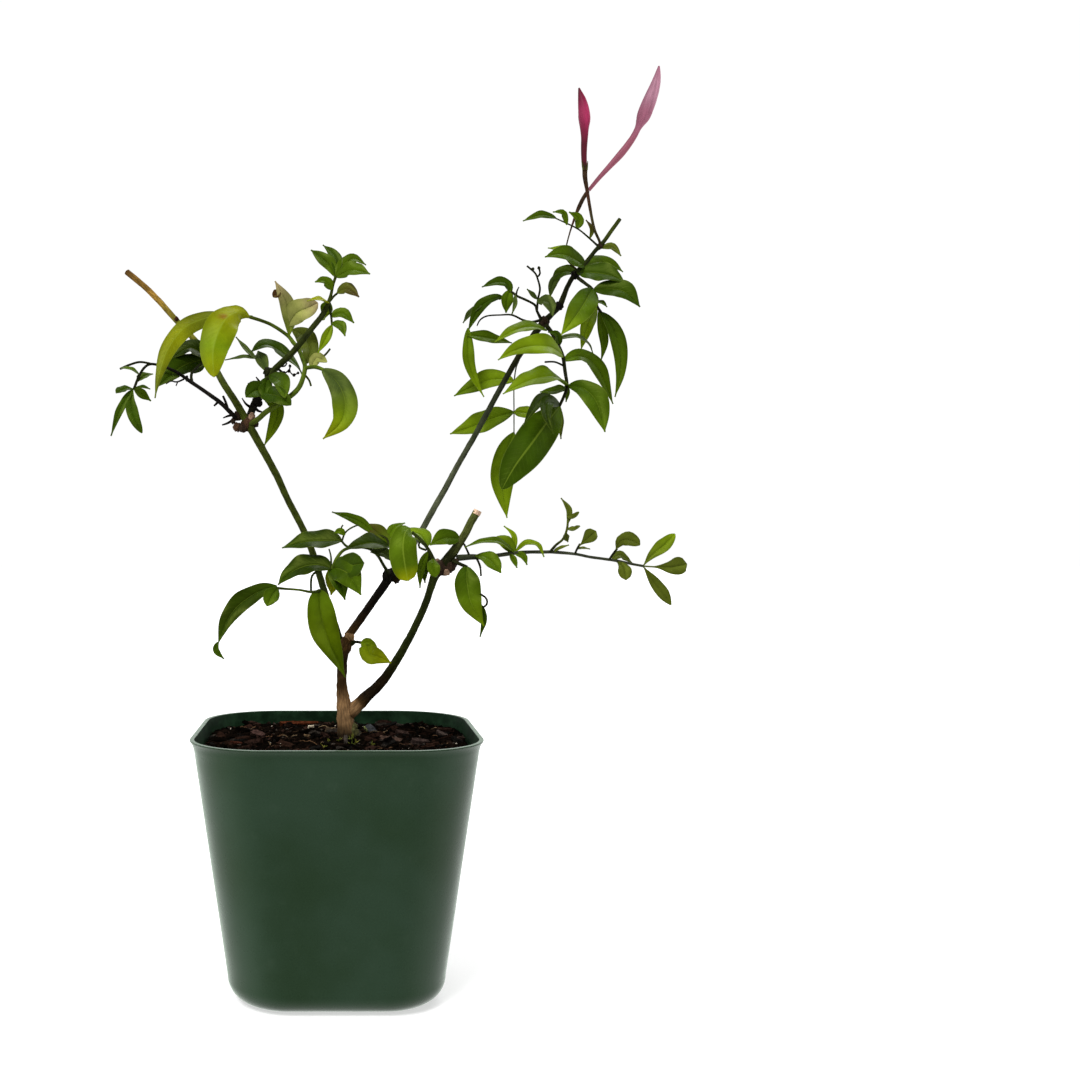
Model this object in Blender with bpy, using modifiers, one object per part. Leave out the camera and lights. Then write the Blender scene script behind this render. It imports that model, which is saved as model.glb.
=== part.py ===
"""A potted pink jasmine: a young climbing plant with two long closed buds, in a square nursery pot of soil.

Metres, +Z up. The origin is the middle of the pot's flat underside, and the front of the plant faces -Y.
"""

import math
import random

import bmesh
import bpy
from mathutils import Vector

MM = 0.001

# Pot: a tapered square with round corners, a thin lip and a rounded lower edge.
POT_HEIGHT = 89.1 * MM
RIM_WIDTH = 100.0 * MM
BASE_WIDTH = 74.5 * MM
RIM_CORNER = 27.8 * MM
BASE_CORNER = 21.4 * MM
LOWER_EDGE = 8.0 * MM
WALL = 1.0 * MM
LIP_HEIGHT = 1.9 * MM
LIP_OUT = 1.5 * MM
CORNER_STEPS = 6
EDGE_STEPS = 3
HOLE_SIDES = 20
DRAIN_HOLE = 4.0 * MM
DRAIN_PLACE = 17.0 * MM

# Soil: it fills the pot to just below the lip, with bark chips in its surface.
SOIL_TOP = 84.6 * MM
SOIL_MOUND = 1.6 * MM
SOIL_ROUGH = 0.7 * MM
SOIL_RINGS = 5
CHIP_COUNT = 20
CHIP_LENGTH = 6.5 * MM
GAP = 0.3 * MM
SCRAP = 2.0 * MM**3

# Front drawing of the plant. A place on it is (across, down, depth): across and down in the drawing's own
# steps from its upper left corner, and depth in millimetres behind the middle of the pot. The drawing is
# made from one viewpoint, so a place slides along its line of sight when its depth changes.
EYE = Vector((0.0, -430.0 * MM, 151.3 * MM))
VIEW_MIDDLE = (336.7, 553.5)
VIEW_LENGTH = 1209

# Ways in which the upper side of a leaf looks.
TOWARD = Vector((0.0, -1.0, 0.15))
LIFTED = Vector((0.0, -0.85, 0.55))
UPWARD = Vector((0.0, -0.55, 0.84))

BLADE = 0.6 * MM
LEAF_END = 0.7 * MM
LEAF_STEP = 5.0 * MM
LEAF_SPANS = (2, 5)
ROUNDER_FROM = (0.6, 1.6)
TRUNK_HOLE = 3.95 * MM
TRUNK_FOOT = (346, 806, 4)

# Colours, roughness
POT_GREEN = (0.035, 0.075, 0.042), 0.42
SOIL_BROWN = (0.022, 0.015, 0.011), 0.95
BARK_BROWN = (0.11, 0.06, 0.028), 0.8
STEM_GREEN = (0.045, 0.07, 0.018), 0.6
LEAF_GREEN = (0.06, 0.15, 0.012), 0.45
OLIVE_GREEN = (0.09, 0.12, 0.02), 0.5
STALK_BROWN = (0.07, 0.055, 0.02), 0.6
BUD_MAGENTA = (0.3, 0.02, 0.08), 0.5
BUD_PINK = (0.55, 0.2, 0.32), 0.5

random.seed(7)


def clear_scene():
    """Removes whatever the scene holds."""
    for thing in list(bpy.data.objects):
        bpy.data.objects.remove(thing, do_unlink=True)


def new_collection(name):
    """A collection linked to the scene."""
    group = bpy.data.collections.new(name)
    bpy.context.scene.collection.children.link(group)
    return group


def material_of(name, colour, roughness):
    """A plain material."""
    material = bpy.data.materials.new(name)
    material.use_nodes = True
    shader = material.node_tree.nodes["Principled BSDF"]
    shader.inputs["Base Color"].default_value = (*colour, 1.0)
    shader.inputs["Roughness"].default_value = roughness
    shader.inputs["Metallic"].default_value = 0.0
    return material


def at(across, down, depth):
    """The point in space of a place on the front drawing."""
    scale = (depth * MM - EYE.y) / VIEW_LENGTH
    return Vector(((across - VIEW_MIDDLE[0]) * scale, depth * MM, EYE.z - (down - VIEW_MIDDLE[1]) * scale))


def smooth(values, pieces):
    """Points of a smooth curve through the given ones, with each stretch cut into pieces."""
    last = len(values) - 1
    line = []
    for i in range(last):
        before = values[max(i - 1, 0)]
        start = values[i]
        end = values[i + 1]
        after = values[min(i + 2, last)]
        for k in range(pieces):
            t = k / pieces
            line.append((
                start * 2
                + (end - before) * t
                + (before * 2 - start * 5 + end * 4 - after) * t**2
                + (start * 3 - before - end * 3 + after) * t**3
            ) / 2)
    line.append(values[last])
    return line


def from_mesh(name, mesh):
    """An object for a mesh, in the workshop collection."""
    thing = bpy.data.objects.new(name, mesh)
    WORKSHOP.objects.link(thing)
    return thing


def from_bmesh(name, shape):
    """An object for a bmesh, in the workshop collection."""
    mesh = bpy.data.meshes.new(name)
    shape.to_mesh(mesh)
    shape.free()
    return from_mesh(name, mesh)


def solid_of(thing):
    """Replaces an object with a plain mesh object of its evaluated, welded shape."""
    bpy.context.view_layer.update()
    evaluated = thing.evaluated_get(bpy.context.evaluated_depsgraph_get())
    mesh = bpy.data.meshes.new_from_object(evaluated)
    matrix = thing.matrix_world.copy()
    name = thing.name
    bpy.data.objects.remove(thing, do_unlink=True)
    shape = bmesh.new()
    shape.from_mesh(mesh)
    bmesh.ops.remove_doubles(shape, verts=shape.verts, dist=0.00001)
    shape.to_mesh(mesh)
    shape.free()
    solid = from_mesh(name, mesh)
    solid.matrix_world = matrix
    return solid


def stem(*route):
    """A tapering stem along places of the drawing, each with its radius in millimetres."""
    cuts = 2 if len(route) < 6 else 1
    places = smooth([at(*place[:3]) for place in route], cuts)
    radii = smooth([place[3] for place in route], cuts)
    curve = bpy.data.curves.new("stem", "CURVE")
    curve.dimensions = "3D"
    curve.bevel_depth = MM
    curve.bevel_resolution = sum(max(radii) > limit for limit in ROUNDER_FROM)
    curve.use_fill_caps = True
    spline = curve.splines.new("POLY")
    spline.points.add(len(places) - 1)
    for point, place, radius in zip(spline.points, places, radii):
        point.co = (*place, 1.0)
        point.radius = radius
    thing = bpy.data.objects.new("stem", curve)
    WORKSHOP.objects.link(thing)
    return solid_of(thing)


def knot(place, radius):
    """A rounded swelling, with its radius in millimetres."""
    shape = bmesh.new()
    bmesh.ops.create_uvsphere(shape, u_segments=8, v_segments=6, radius=radius * MM)
    bmesh.ops.translate(shape, verts=shape.verts, vec=at(*place))
    return from_bmesh("knot", shape)


def spine_of(places):
    """Even steps along a leaf's midrib: each with its point and direction."""
    line = smooth([at(*place) for place in places], 12)
    lengths = [0.0]
    for a, b in zip(line, line[1:]):
        lengths.append(lengths[-1] + (b - a).length)
    return line, lengths


def along(line, lengths, t):
    """Point and direction at a share of the way along a spine."""
    goal = t * lengths[-1]
    i = 0
    while i < len(line) - 2 and lengths[i + 1] < goal:
        i += 1
    share = (goal - lengths[i]) / (lengths[i + 1] - lengths[i])
    ahead = line[min(i + 2, len(line) - 1)]
    behind = line[max(i - 1, 0)]
    return line[i].lerp(line[i + 1], share), (ahead - behind).normalized()


def width_at(t, widest, tip):
    """Share of a leaf's full width at a share of its length."""
    bulge = math.sin(math.pi * min(t, 1.0) ** (math.log(0.5) / math.log(widest)))
    return max(bulge, 0.0) ** (0.8 if t < widest else tip)


def leaf(*places, width, face, widest=0.42, tip=1.05, fold=14, sides=(1.0, 1.0)):
    """A leaf blade along places of the drawing, with its width in millimetres and its fold in degrees.

    face is the way its upper side looks, widest the share of its length where it is broadest, tip how
    fast it narrows after that, and sides scales its left and right halves.
    """
    line, lengths = spine_of(places)
    spans = min(max(round(lengths[-1] / LEAF_STEP), LEAF_SPANS[0]), LEAF_SPANS[1])
    shape = bmesh.new()
    bmesh.ops.create_grid(shape, x_segments=spans, y_segments=2, size=1.0)
    lift = math.radians(fold)
    for vert in shape.verts:
        t = (vert.co.x + 1.0) / 2.0
        side = vert.co.y
        point, ahead = along(line, lengths, t)
        normal = (face - ahead * face.dot(ahead)).normalized()
        across = ahead.cross(normal)
        half = max(width * MM * width_at(t, widest, tip), LEAF_END) / 2.0
        reach = half * abs(side) * (sides[0] if side < 0.0 else sides[1])
        sign = math.copysign(1.0, side)
        vert.co = point + across * (sign * reach * math.cos(lift)) + normal * (reach * math.sin(lift))
    bmesh.ops.triangulate(shape, faces=shape.faces)
    thing = from_bmesh("leaf", shape)
    solidify = thing.modifiers.new("thickness", "SOLIDIFY")
    solidify.thickness = BLADE
    solidify.offset = 0.0
    return solid_of(thing)


def without_scraps(thing):
    """Drops loose scraps, smaller than any leaf, and fills sealed hollows, whose volume is negative."""
    shape = bmesh.new()
    shape.from_mesh(thing.data)
    waiting = set(shape.verts)
    while waiting:
        island = {waiting.pop()}
        edge = list(island)
        while edge:
            for link in edge.pop().link_edges:
                for vert in link.verts:
                    if vert in waiting:
                        waiting.remove(vert)
                        island.add(vert)
                        edge.append(vert)
        sides = {side for vert in island for side in vert.link_faces}
        volume = 0.0
        for side in sides:
            first, *others = [vert.co for vert in side.verts]
            for a, b in zip(others, others[1:]):
                volume += first.dot(a.cross(b)) / 6
        if volume < SCRAP:
            bmesh.ops.delete(shape, geom=list(island), context="VERTS")
    shape.to_mesh(thing.data)
    shape.free()
    return thing


def union_of(pieces, solver="EXACT"):
    """One solid from overlapping pieces."""
    first, rest = pieces[0], pieces[1:]
    if not rest:
        return first
    group = new_collection("joined")
    for piece in rest:
        group.objects.link(piece)
    union = first.modifiers.new("union", "BOOLEAN")
    union.operation = "UNION"
    union.solver = solver
    union.operand_type = "COLLECTION"
    union.collection = group
    body = solid_of(first)
    for piece in rest:
        bpy.data.objects.remove(piece, do_unlink=True)
    bpy.data.collections.remove(group)
    return without_scraps(body)


def cut_by(body, cutters, solver="EXACT"):
    """A solid with the cutters' room taken out of it."""
    for cutter in cutters:
        cut = body.modifiers.new("cut", "BOOLEAN")
        cut.operation = "DIFFERENCE"
        cut.solver = solver
        cut.object = cutter
    body = without_scraps(solid_of(body))
    for cutter in cutters:
        if cutter.name not in CUTTERS.objects:
            keep_as_cutter(cutter)
    return body


def keep_as_cutter(thing):
    """Puts a cutter in its own collection, out of sight."""
    WORKSHOP.objects.unlink(thing)
    CUTTERS.objects.link(thing)
    thing.hide_render = True
    thing.display_type = "WIRE"


def clearance_of(body):
    """A cutter in the form of a finished piece, a gap thicker all round."""
    cutter = from_mesh(body.name + "_clearance", body.data.copy())
    swell = cutter.modifiers.new("gap", "DISPLACE")
    swell.strength = GAP
    swell.mid_level = 0.0
    return solid_of(cutter)


def finish(name, body, look):
    """Gives a finished piece its name, its place among the plant's pieces and its material."""
    body.name = name
    body.data.name = name
    WORKSHOP.objects.unlink(body)
    PLANT.objects.link(body)
    body.data.materials.clear()
    body.data.materials.append(material_of(name, *look))
    body.data.shade_smooth()
    body.data.set_sharp_from_angle(angle=math.radians(40))
    return body


def cylinder(name, radius, low, high, x, y):
    """An upright cylinder between two heights."""
    shape = bmesh.new()
    bmesh.ops.create_cone(
        shape, cap_ends=True, segments=HOLE_SIDES, radius1=radius, radius2=radius, depth=high - low
    )
    bmesh.ops.translate(shape, verts=shape.verts, vec=(x, y, (low + high) / 2))
    return from_bmesh(name, shape)


def rounded_square(half, corner, height):
    """Outline of a level square with round corners."""
    points = []
    for quarter, (x, y) in enumerate(((1, 1), (-1, 1), (-1, -1), (1, -1))):
        for step in range(CORNER_STEPS + 1):
            turn = math.radians(90) * (quarter + step / CORNER_STEPS)
            points.append(Vector((
                x * (half - corner) + corner * math.cos(turn),
                y * (half - corner) + corner * math.sin(turn),
                height,
            )))
    return points


def loft(name, outlines):
    """A closed body through outlines of equal count, with its first and last filled."""
    shape = bmesh.new()
    rings = [[shape.verts.new(point) for point in outline] for outline in outlines]
    for lower, upper in zip(rings, rings[1:]):
        for i in range(len(lower)):
            j = (i + 1) % len(lower)
            shape.faces.new((lower[i], lower[j], upper[j], upper[i]))
    shape.faces.new(list(reversed(rings[0])))
    shape.faces.new(rings[-1])
    bmesh.ops.triangulate(shape, faces=shape.faces)
    bmesh.ops.recalc_face_normals(shape, faces=shape.faces)
    return from_bmesh(name, shape)


def wall_outline(inset, height):
    """Outline of the pot's straight wall at a height, moved inwards."""
    share = (height - LOWER_EDGE) / (POT_HEIGHT - LOWER_EDGE)
    half = BASE_WIDTH / 2 + (RIM_WIDTH / 2 - LIP_OUT - BASE_WIDTH / 2) * share
    corner = BASE_CORNER + (RIM_CORNER - BASE_CORNER) * share
    return rounded_square(half - inset, corner - inset, height)


def cup_outlines(inset, top):
    """Outlines of the pot moved inwards: its floor, its round lower edge and its wall up to a height."""
    edge = LOWER_EDGE - inset
    outlines = []
    for step in range(EDGE_STEPS):
        turn = math.radians(90) * step / EDGE_STEPS
        pull = inset + edge * (1 - math.sin(turn))
        height = inset + edge * (1 - math.cos(turn))
        outlines.append(rounded_square(BASE_WIDTH / 2 - pull, BASE_CORNER - pull, height))
    outlines.append(wall_outline(inset, LOWER_EDGE))
    outlines.append(wall_outline(inset, top))
    return outlines


def pot():
    """The moulded shell with its lip and drain holes."""
    lip_low = POT_HEIGHT - LIP_HEIGHT
    rim = RIM_WIDTH / 2
    soft = LIP_OUT / 3
    lip = [
        rounded_square(rim, RIM_CORNER, lip_low + LIP_OUT / 2),
        rounded_square(rim, RIM_CORNER, POT_HEIGHT - soft),
        rounded_square(rim - soft, RIM_CORNER - soft, POT_HEIGHT),
        rounded_square(rim - LIP_OUT - WALL, RIM_CORNER - LIP_OUT - WALL, POT_HEIGHT),
    ]
    shell = loft("pot", cup_outlines(0.0, lip_low) + lip + cup_outlines(WALL, lip_low)[::-1])
    holes = [
        cylinder("drain_hole", DRAIN_HOLE, -WALL, 3 * WALL, x, y)
        for x in (-DRAIN_PLACE, DRAIN_PLACE)
        for y in (-DRAIN_PLACE, DRAIN_PLACE)
    ]
    return cut_by(shell, holes)


def soil_height(x, y):
    """Height of the soil: a low mound round the trunk with small random lumps."""
    foot = at(*TRUNK_FOOT)
    near = math.hypot(x - foot.x, y - foot.y) / (RIM_WIDTH / 2)
    return SOIL_TOP + SOIL_MOUND * max(0.0, 1.0 - near) ** 2 + random.uniform(-SOIL_ROUGH, SOIL_ROUGH)


def bark_chip():
    """One tilted sliver of bark, somewhere in the surface of the soil and clear of the trunk and the pot."""
    foot = at(*TRUNK_FOOT)
    reach = RIM_WIDTH / 2 - WALL - CHIP_LENGTH
    x = y = reach
    while math.hypot(x, y) > reach or math.hypot(x - foot.x, y - foot.y) < TRUNK_HOLE + CHIP_LENGTH:
        x = random.uniform(-reach, reach)
        y = random.uniform(-reach, reach)
    shape = bmesh.new()
    bmesh.ops.create_cube(shape, size=CHIP_LENGTH)
    size = (random.uniform(0.6, 1.1), random.uniform(0.35, 0.6), random.uniform(0.25, 0.4))
    bmesh.ops.scale(shape, vec=size, verts=shape.verts)
    chip = from_bmesh("chip", shape)
    chip.location = (x, y, soil_height(x, y))
    chip.rotation_euler = (random.uniform(-0.4, 0.4), random.uniform(-0.4, 0.4), random.uniform(0, math.pi))
    return solid_of(chip)


def soil():
    """Bark mix that fills the pot, with chips in its surface and a plain hole for the trunk."""
    foot = at(*TRUNK_FOOT)
    outlines = cup_outlines(WALL + GAP, SOIL_TOP - SOIL_ROUGH)
    edge = outlines[-1]
    for ring in range(1, SOIL_RINGS + 1):
        share = 1.0 - ring / (SOIL_RINGS + 1)
        level = []
        for point in edge:
            x = foot.x + (point.x - foot.x) * share
            y = foot.y + (point.y - foot.y) * share
            level.append(Vector((x, y, soil_height(x, y))))
        outlines.append(level)
    ground = union_of([loft("soil", outlines)] + [bark_chip() for count in range(CHIP_COUNT)])
    hole = cylinder("trunk_hole", TRUNK_HOLE, foot.z - 2 * GAP, POT_HEIGHT, foot.x, foot.y)
    return cut_by(ground, [hole])


def trunk():
    """Brown woody base: it stands in the soil, forks low down and has a swollen joint above."""
    return [
        stem(
            (*TRUNK_FOOT, 3.3), (346, 760, 4, 3.4), (346, 735, 4, 3.2), (345, 718, 4, 3.1),
            (344, 704, 4, 2.7),
            (342, 690, 3, 2.0), (342, 672, 2, 1.8), (343, 657, 2, 1.8), (345, 645, 2, 2.2),
            (347, 638, 2, 1.7),
        ),
        stem((346, 716, 4, 2.2), (353, 709, 4, 2.3), (361, 702, 4, 2.2), (367, 696, 3, 2.1)),
        stem((346, 645, 2, 1.5), (351, 643, 2, 1.2), (354, 642, 1, 0.8)),
        stem((344, 652, 3, 1.6), (342, 645, 4, 1.6), (340, 640, 4, 1.5)),
        knot((345, 647, 2), 2.3),
        knot((347, 709, 2), 2.8),
    ]


def right_arm():
    """Dark green arm from the fork to a knot, and its short stub with a pale cut end."""
    return [
        stem(
            (368, 695, 3, 2.0), (376, 688, 2, 1.85), (387, 675, 0, 1.65), (401, 653, -4, 1.45),
            (414, 629, -9, 1.3),
            (425, 605, -14, 1.25), (431, 587, -18, 1.3), (436, 574, -20, 1.6), (446, 562, -22, 1.9),
            (456, 548, -23, 1.5), (465, 534, -24, 1.35), (471, 522, -25, 1.3), (477, 512, -26, 1.35),
        ),
        knot((440, 568, -22), 2.6),
        knot((450, 566, -22), 2.0),
    ]


def left_stem():
    """Olive stem from the trunk's joint to a brown knot, and on to its dry cut tip."""
    return [
        stem(
            (339, 638, 4, 1.35), (332, 616, 5, 1.3), (324, 590, 5, 1.25), (318, 570, 4, 1.25),
            (312, 551, 3, 1.2),
            (303, 529, 1, 1.2), (288, 500, -3, 1.2), (277, 476, -7, 1.25), (264, 452, -11, 1.3),
            (254, 434, -14, 1.4),
            (246, 420, -14, 1.4), (235, 401, -12, 1.25), (224, 384, -9, 1.2), (215, 368, -4, 1.15),
            (205, 352, 2, 1.1), (193, 338, 6, 1.05), (176, 320, 10, 1.05), (160, 302, 13, 1.1),
            (145, 287, 15, 1.1),
            (127, 272, 17, 1.15),
        ),
        knot((248, 424, -14), 2.4),
        knot((239, 427, -14), 1.7),
        knot((238, 416, -13), 1.6),
    ]


def right_stem():
    """Long stem from the trunk's joint: black to its first knot, then dark grey-green up to the second."""
    return [
        stem(
            (348, 636, 2, 1.5), (357, 624, 0, 1.5), (371, 604, -3, 1.45), (381, 590, -5, 1.5),
            (390, 577, -6, 1.55),
            (399, 566, -5, 1.2), (411, 548, -2, 1.1), (422, 530, 2, 1.1), (433, 510, 6, 1.1),
            (445, 489, 10, 1.1),
            (459, 463, 14, 1.05), (474, 437, 17, 1.05), (486, 415, 19, 1.05), (494, 400, 20, 1.05),
            (504, 382, 20, 1.05),
            (517, 359, 19, 1.05), (530, 340, 18, 1.1), (543, 323, 17, 1.3), (552, 314, 16, 1.0),
            (560, 305, 15, 1.1),
            (566, 290, 14, 0.9), (571, 280, 13, 0.9),
        ),
        knot((389, 576, -6), 2.3),
        knot((396, 579, -6), 1.4),
        knot((544, 322, 17), 2.0),
        knot((559, 306, 15), 1.5),
    ]


def trunk_leaf():
    """One small curled leaf on a thin stalk from the trunk's joint."""
    return [
        stem((354, 642, 1, 0.5), (358, 642, -1, 0.5), (362, 643, -3, 0.5)),
        leaf((361, 642, -3), (367, 645, -5), (370, 654, -7), (379, 657, -8), (391, 663, -7), width=7.0,
             face=TOWARD,
             widest=0.42, fold=8),
        leaf((363, 643, -4), (369, 642, -5), (374, 648, -6), width=2.6, face=TOWARD),
    ]


def left_low_spray():
    """Low shoot on the left stem's knot: a black twig, dark leaflets and a palmate end."""
    return [
        stem(
            (236, 418, -14, 0.8), (222, 404, -15, 0.75), (210, 395, -15, 0.7), (200, 388, -14, 0.65),
            (191, 382, -13, 0.65), (178, 373, -11, 0.55), (165, 367, -11, 0.5), (152, 364, -12, 0.45),
            (145, 367, -13, 0.45), (139, 376, -14, 0.45), (134, 389, -15, 0.5),
        ),
        stem((192, 382, -13, 0.55), (192, 373, -11, 0.5), (203, 362, -5, 0.5), (207, 359, -4, 0.5)),
        stem((228, 410, -14, 0.5), (226, 403, -15, 0.45), (223, 396, -16, 0.4)),
        stem((187, 381, -13, 0.45), (187, 376, -12, 0.4)),
        stem((152, 364, -12, 0.4), (140, 362, -14, 0.4), (129, 365, -15, 0.4), (120, 369, -16, 0.4)),
        leaf((134, 389, -15), (125, 389, -16), (116, 393, -18), width=3.8, face=UPWARD, widest=0.6,
             tip=0.5),
        leaf((133, 389, -15), (126, 399, -17), (118, 415, -19), (111, 436, -20), width=2.9, face=TOWARD),
        leaf((133, 389, -15), (131, 401, -17), (134, 417, -20), (142, 433, -21), width=4.2, face=TOWARD,
             widest=0.55, tip=0.6),
        leaf((134, 389, -15), (142, 394, -12), (151, 401, -10), width=3.4, face=TOWARD),
        leaf((134, 389, -15), (142, 387, -16), (150, 389, -18), width=2.0, face=UPWARD),
        leaf((138, 381, -14), (144, 376, -12), (153, 374, -10), width=3.8, face=UPWARD),
        leaf((139, 374, -14), (131, 369, -16), (121, 368, -18), width=2.4, face=UPWARD),
        leaf((207, 358, -4), (190, 348, -5), (171, 359, -7), width=8.5, face=UPWARD),
        leaf((207, 360, -4), (183, 366, -7), (157, 387, -12), width=8.5, face=LIFTED),
        leaf((206, 361, -4), (198, 368, -2), (186, 371, 0), width=5.0, face=LIFTED),
    ]


def left_yellow_spray():
    """Curved green shoot on the left stem's knot, with two yellow leaves, a twisted and a hanging one."""
    return [
        stem(
            (257, 420, -17, 0.95), (266, 412, -18, 0.95), (277, 405, -19, 0.9), (288, 398, -20, 0.9),
            (297, 390, -20, 0.9), (302, 381, -19, 0.85), (305, 368, -17, 0.8), (303, 360, -15, 0.75),
            (299, 350, -12, 0.75), (293, 342, -10, 0.75), (287, 335, -10, 0.65), (270, 324, -12, 0.6),
            (250, 317, -14, 0.6),
        ),
        stem((305, 368, -17, 0.7), (315, 367, -18, 0.7), (324, 370, -19, 0.6)),
        leaf((322, 369, -19), (337, 382, -22), (345, 402, -25), (341, 422, -27), (323, 439, -28), width=8.8,
             face=TOWARD, widest=0.52, fold=10),
        leaf((250, 317, -14), (238, 312, -18), (225, 322, -23), (216, 349, -27), (216, 377, -29),
             width=10.6,
             face=TOWARD, widest=0.45, fold=-12),
        stem((252, 317, -14, 0.55), (238, 316, -11, 0.5), (221, 314, -8, 0.5)),
        leaf((222, 314, -8), (203, 319, -9), (184, 328, -13), (168, 349, -18), (159, 375, -22),
             (155, 398, -24),
             width=6.9, face=TOWARD, widest=0.35, fold=-12),
        leaf((289, 336, -10), (290, 320, -12), (287, 304, -14), (281, 292, -16), (275, 281, -17), width=5.6,
             face=TOWARD, widest=0.5),
        leaf((288, 326, -11), (297, 313, -14), (308, 308, -15), (318, 303, -15), width=7.6, face=TOWARD,
             widest=0.45, tip=0.6),
        leaf((280, 291, -16), (273, 297, -16), width=3.2, face=TOWARD, tip=0.5),
        leaf((304, 366, -16), (310, 351, -12), (304, 336, -8), (292, 330, -5), width=7.2, face=TOWARD,
             widest=0.55, tip=0.7),
        leaf((311, 368, -17), (317, 358, -17), (327, 362, -18), width=4.0, face=TOWARD, tip=0.6),
        stem((318, 360, -17, 0.4), (325, 355, -17, 0.35), (330, 349, -16, 0.35)),
        leaf((303, 376, -18), (298, 367, -13), (289, 358, -7), (277, 349, -5), (264, 345, -7),
             (251, 352, -9),
             width=6.0, face=UPWARD, widest=0.72),
        stem((304, 374, -18, 0.4), (309, 380, -17, 0.35), (311, 386, -17, 0.35)),
    ]


def left_upper_spray():
    """Dark shoot on the left stem's knot, with small leaves at its foot and pairs of leaflets to its tip."""
    return [
        stem(
            (250, 416, -12, 1.3), (254, 405, -11, 1.3), (259, 396, -11, 1.2), (263, 390, -11, 1.0),
            (268, 378, -12, 1.2), (277, 367, -13, 1.15), (288, 357, -16, 1.1), (298, 346, -19, 1.05),
            (313, 327, -19, 1.0), (323, 314, -18, 0.9), (330, 298, -16, 0.6), (333, 285, -15, 0.5),
            (336, 276, -15, 0.5),
        ),
        knot((257, 402, -11), 1.8),
        knot((268, 372, -12), 1.6),
        leaf((264, 396, -12), (256, 389, -16), (247, 398, -20), width=6.0, face=UPWARD),
        leaf((269, 376, -13), (281, 381, -20), (290, 394, -26), width=6.0, face=TOWARD),
        leaf((263, 391, -11), (270, 396, -19), (279, 398, -24), (291, 409, -26), width=6.0, face=TOWARD),
        leaf((262, 394, -11), (277, 408, -11), (273, 427, -10), (264, 446, -9), width=5.0, face=TOWARD),
        leaf((268, 374, -11), (263, 362, -8), (258, 351, -5), width=4.6, face=TOWARD, widest=0.6),
        leaf((262, 359, -7), (245, 357, -3), (225, 360, 0), width=2.6, face=UPWARD),
        leaf((256, 359, -6), (247, 350, -3), (236, 337, 0), width=2.2, face=UPWARD),
        leaf((336, 278, -15), (329, 264, -13), (311, 250, -10), width=4.0, face=LIFTED, widest=0.5),
        leaf((336, 276, -15), (336, 258, -12), (323, 245, -8), width=3.2, face=LIFTED),
        leaf((336, 277, -15), (352, 270, -18), (370, 274, -21), width=6.0, face=UPWARD, widest=0.45),
        leaf((336, 275, -15), (352, 259, -12), (366, 265, -9), width=4.2, face=UPWARD),
        leaf((332, 290, -16), (325, 281, -17), (315, 282, -18), width=2.6, face=UPWARD),
        stem((330, 301, -16, 0.45), (334, 296, -16, 0.4), (339, 292, -17, 0.4)),
        leaf((337, 293, -17), (347, 289, -18), (359, 297, -20), width=3.6, face=UPWARD),
        stem((329, 303, -16, 0.45), (331, 315, -17, 0.4), (332, 325, -18, 0.4)),
        leaf((330, 302, -16), (327, 308, -15), (324, 316, -14), width=4.6, face=TOWARD, tip=0.6),
        leaf((330, 313, -16), (325, 316, -14), (317, 320, -12), width=4.0, face=LIFTED),
        leaf((329, 303, -17), (319, 299, -20), (307, 301, -22), width=2.4, face=UPWARD),
        leaf((332, 325, -18), (325, 340, -19), (318, 353, -19), width=2.4, face=TOWARD),
        leaf((332, 323, -18), (341, 326, -20), (345, 336, -22), width=2.4, face=UPWARD),
        leaf((331, 317, -17), (342, 313, -17), (354, 323, -18), width=2.8, face=UPWARD),
    ]


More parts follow.
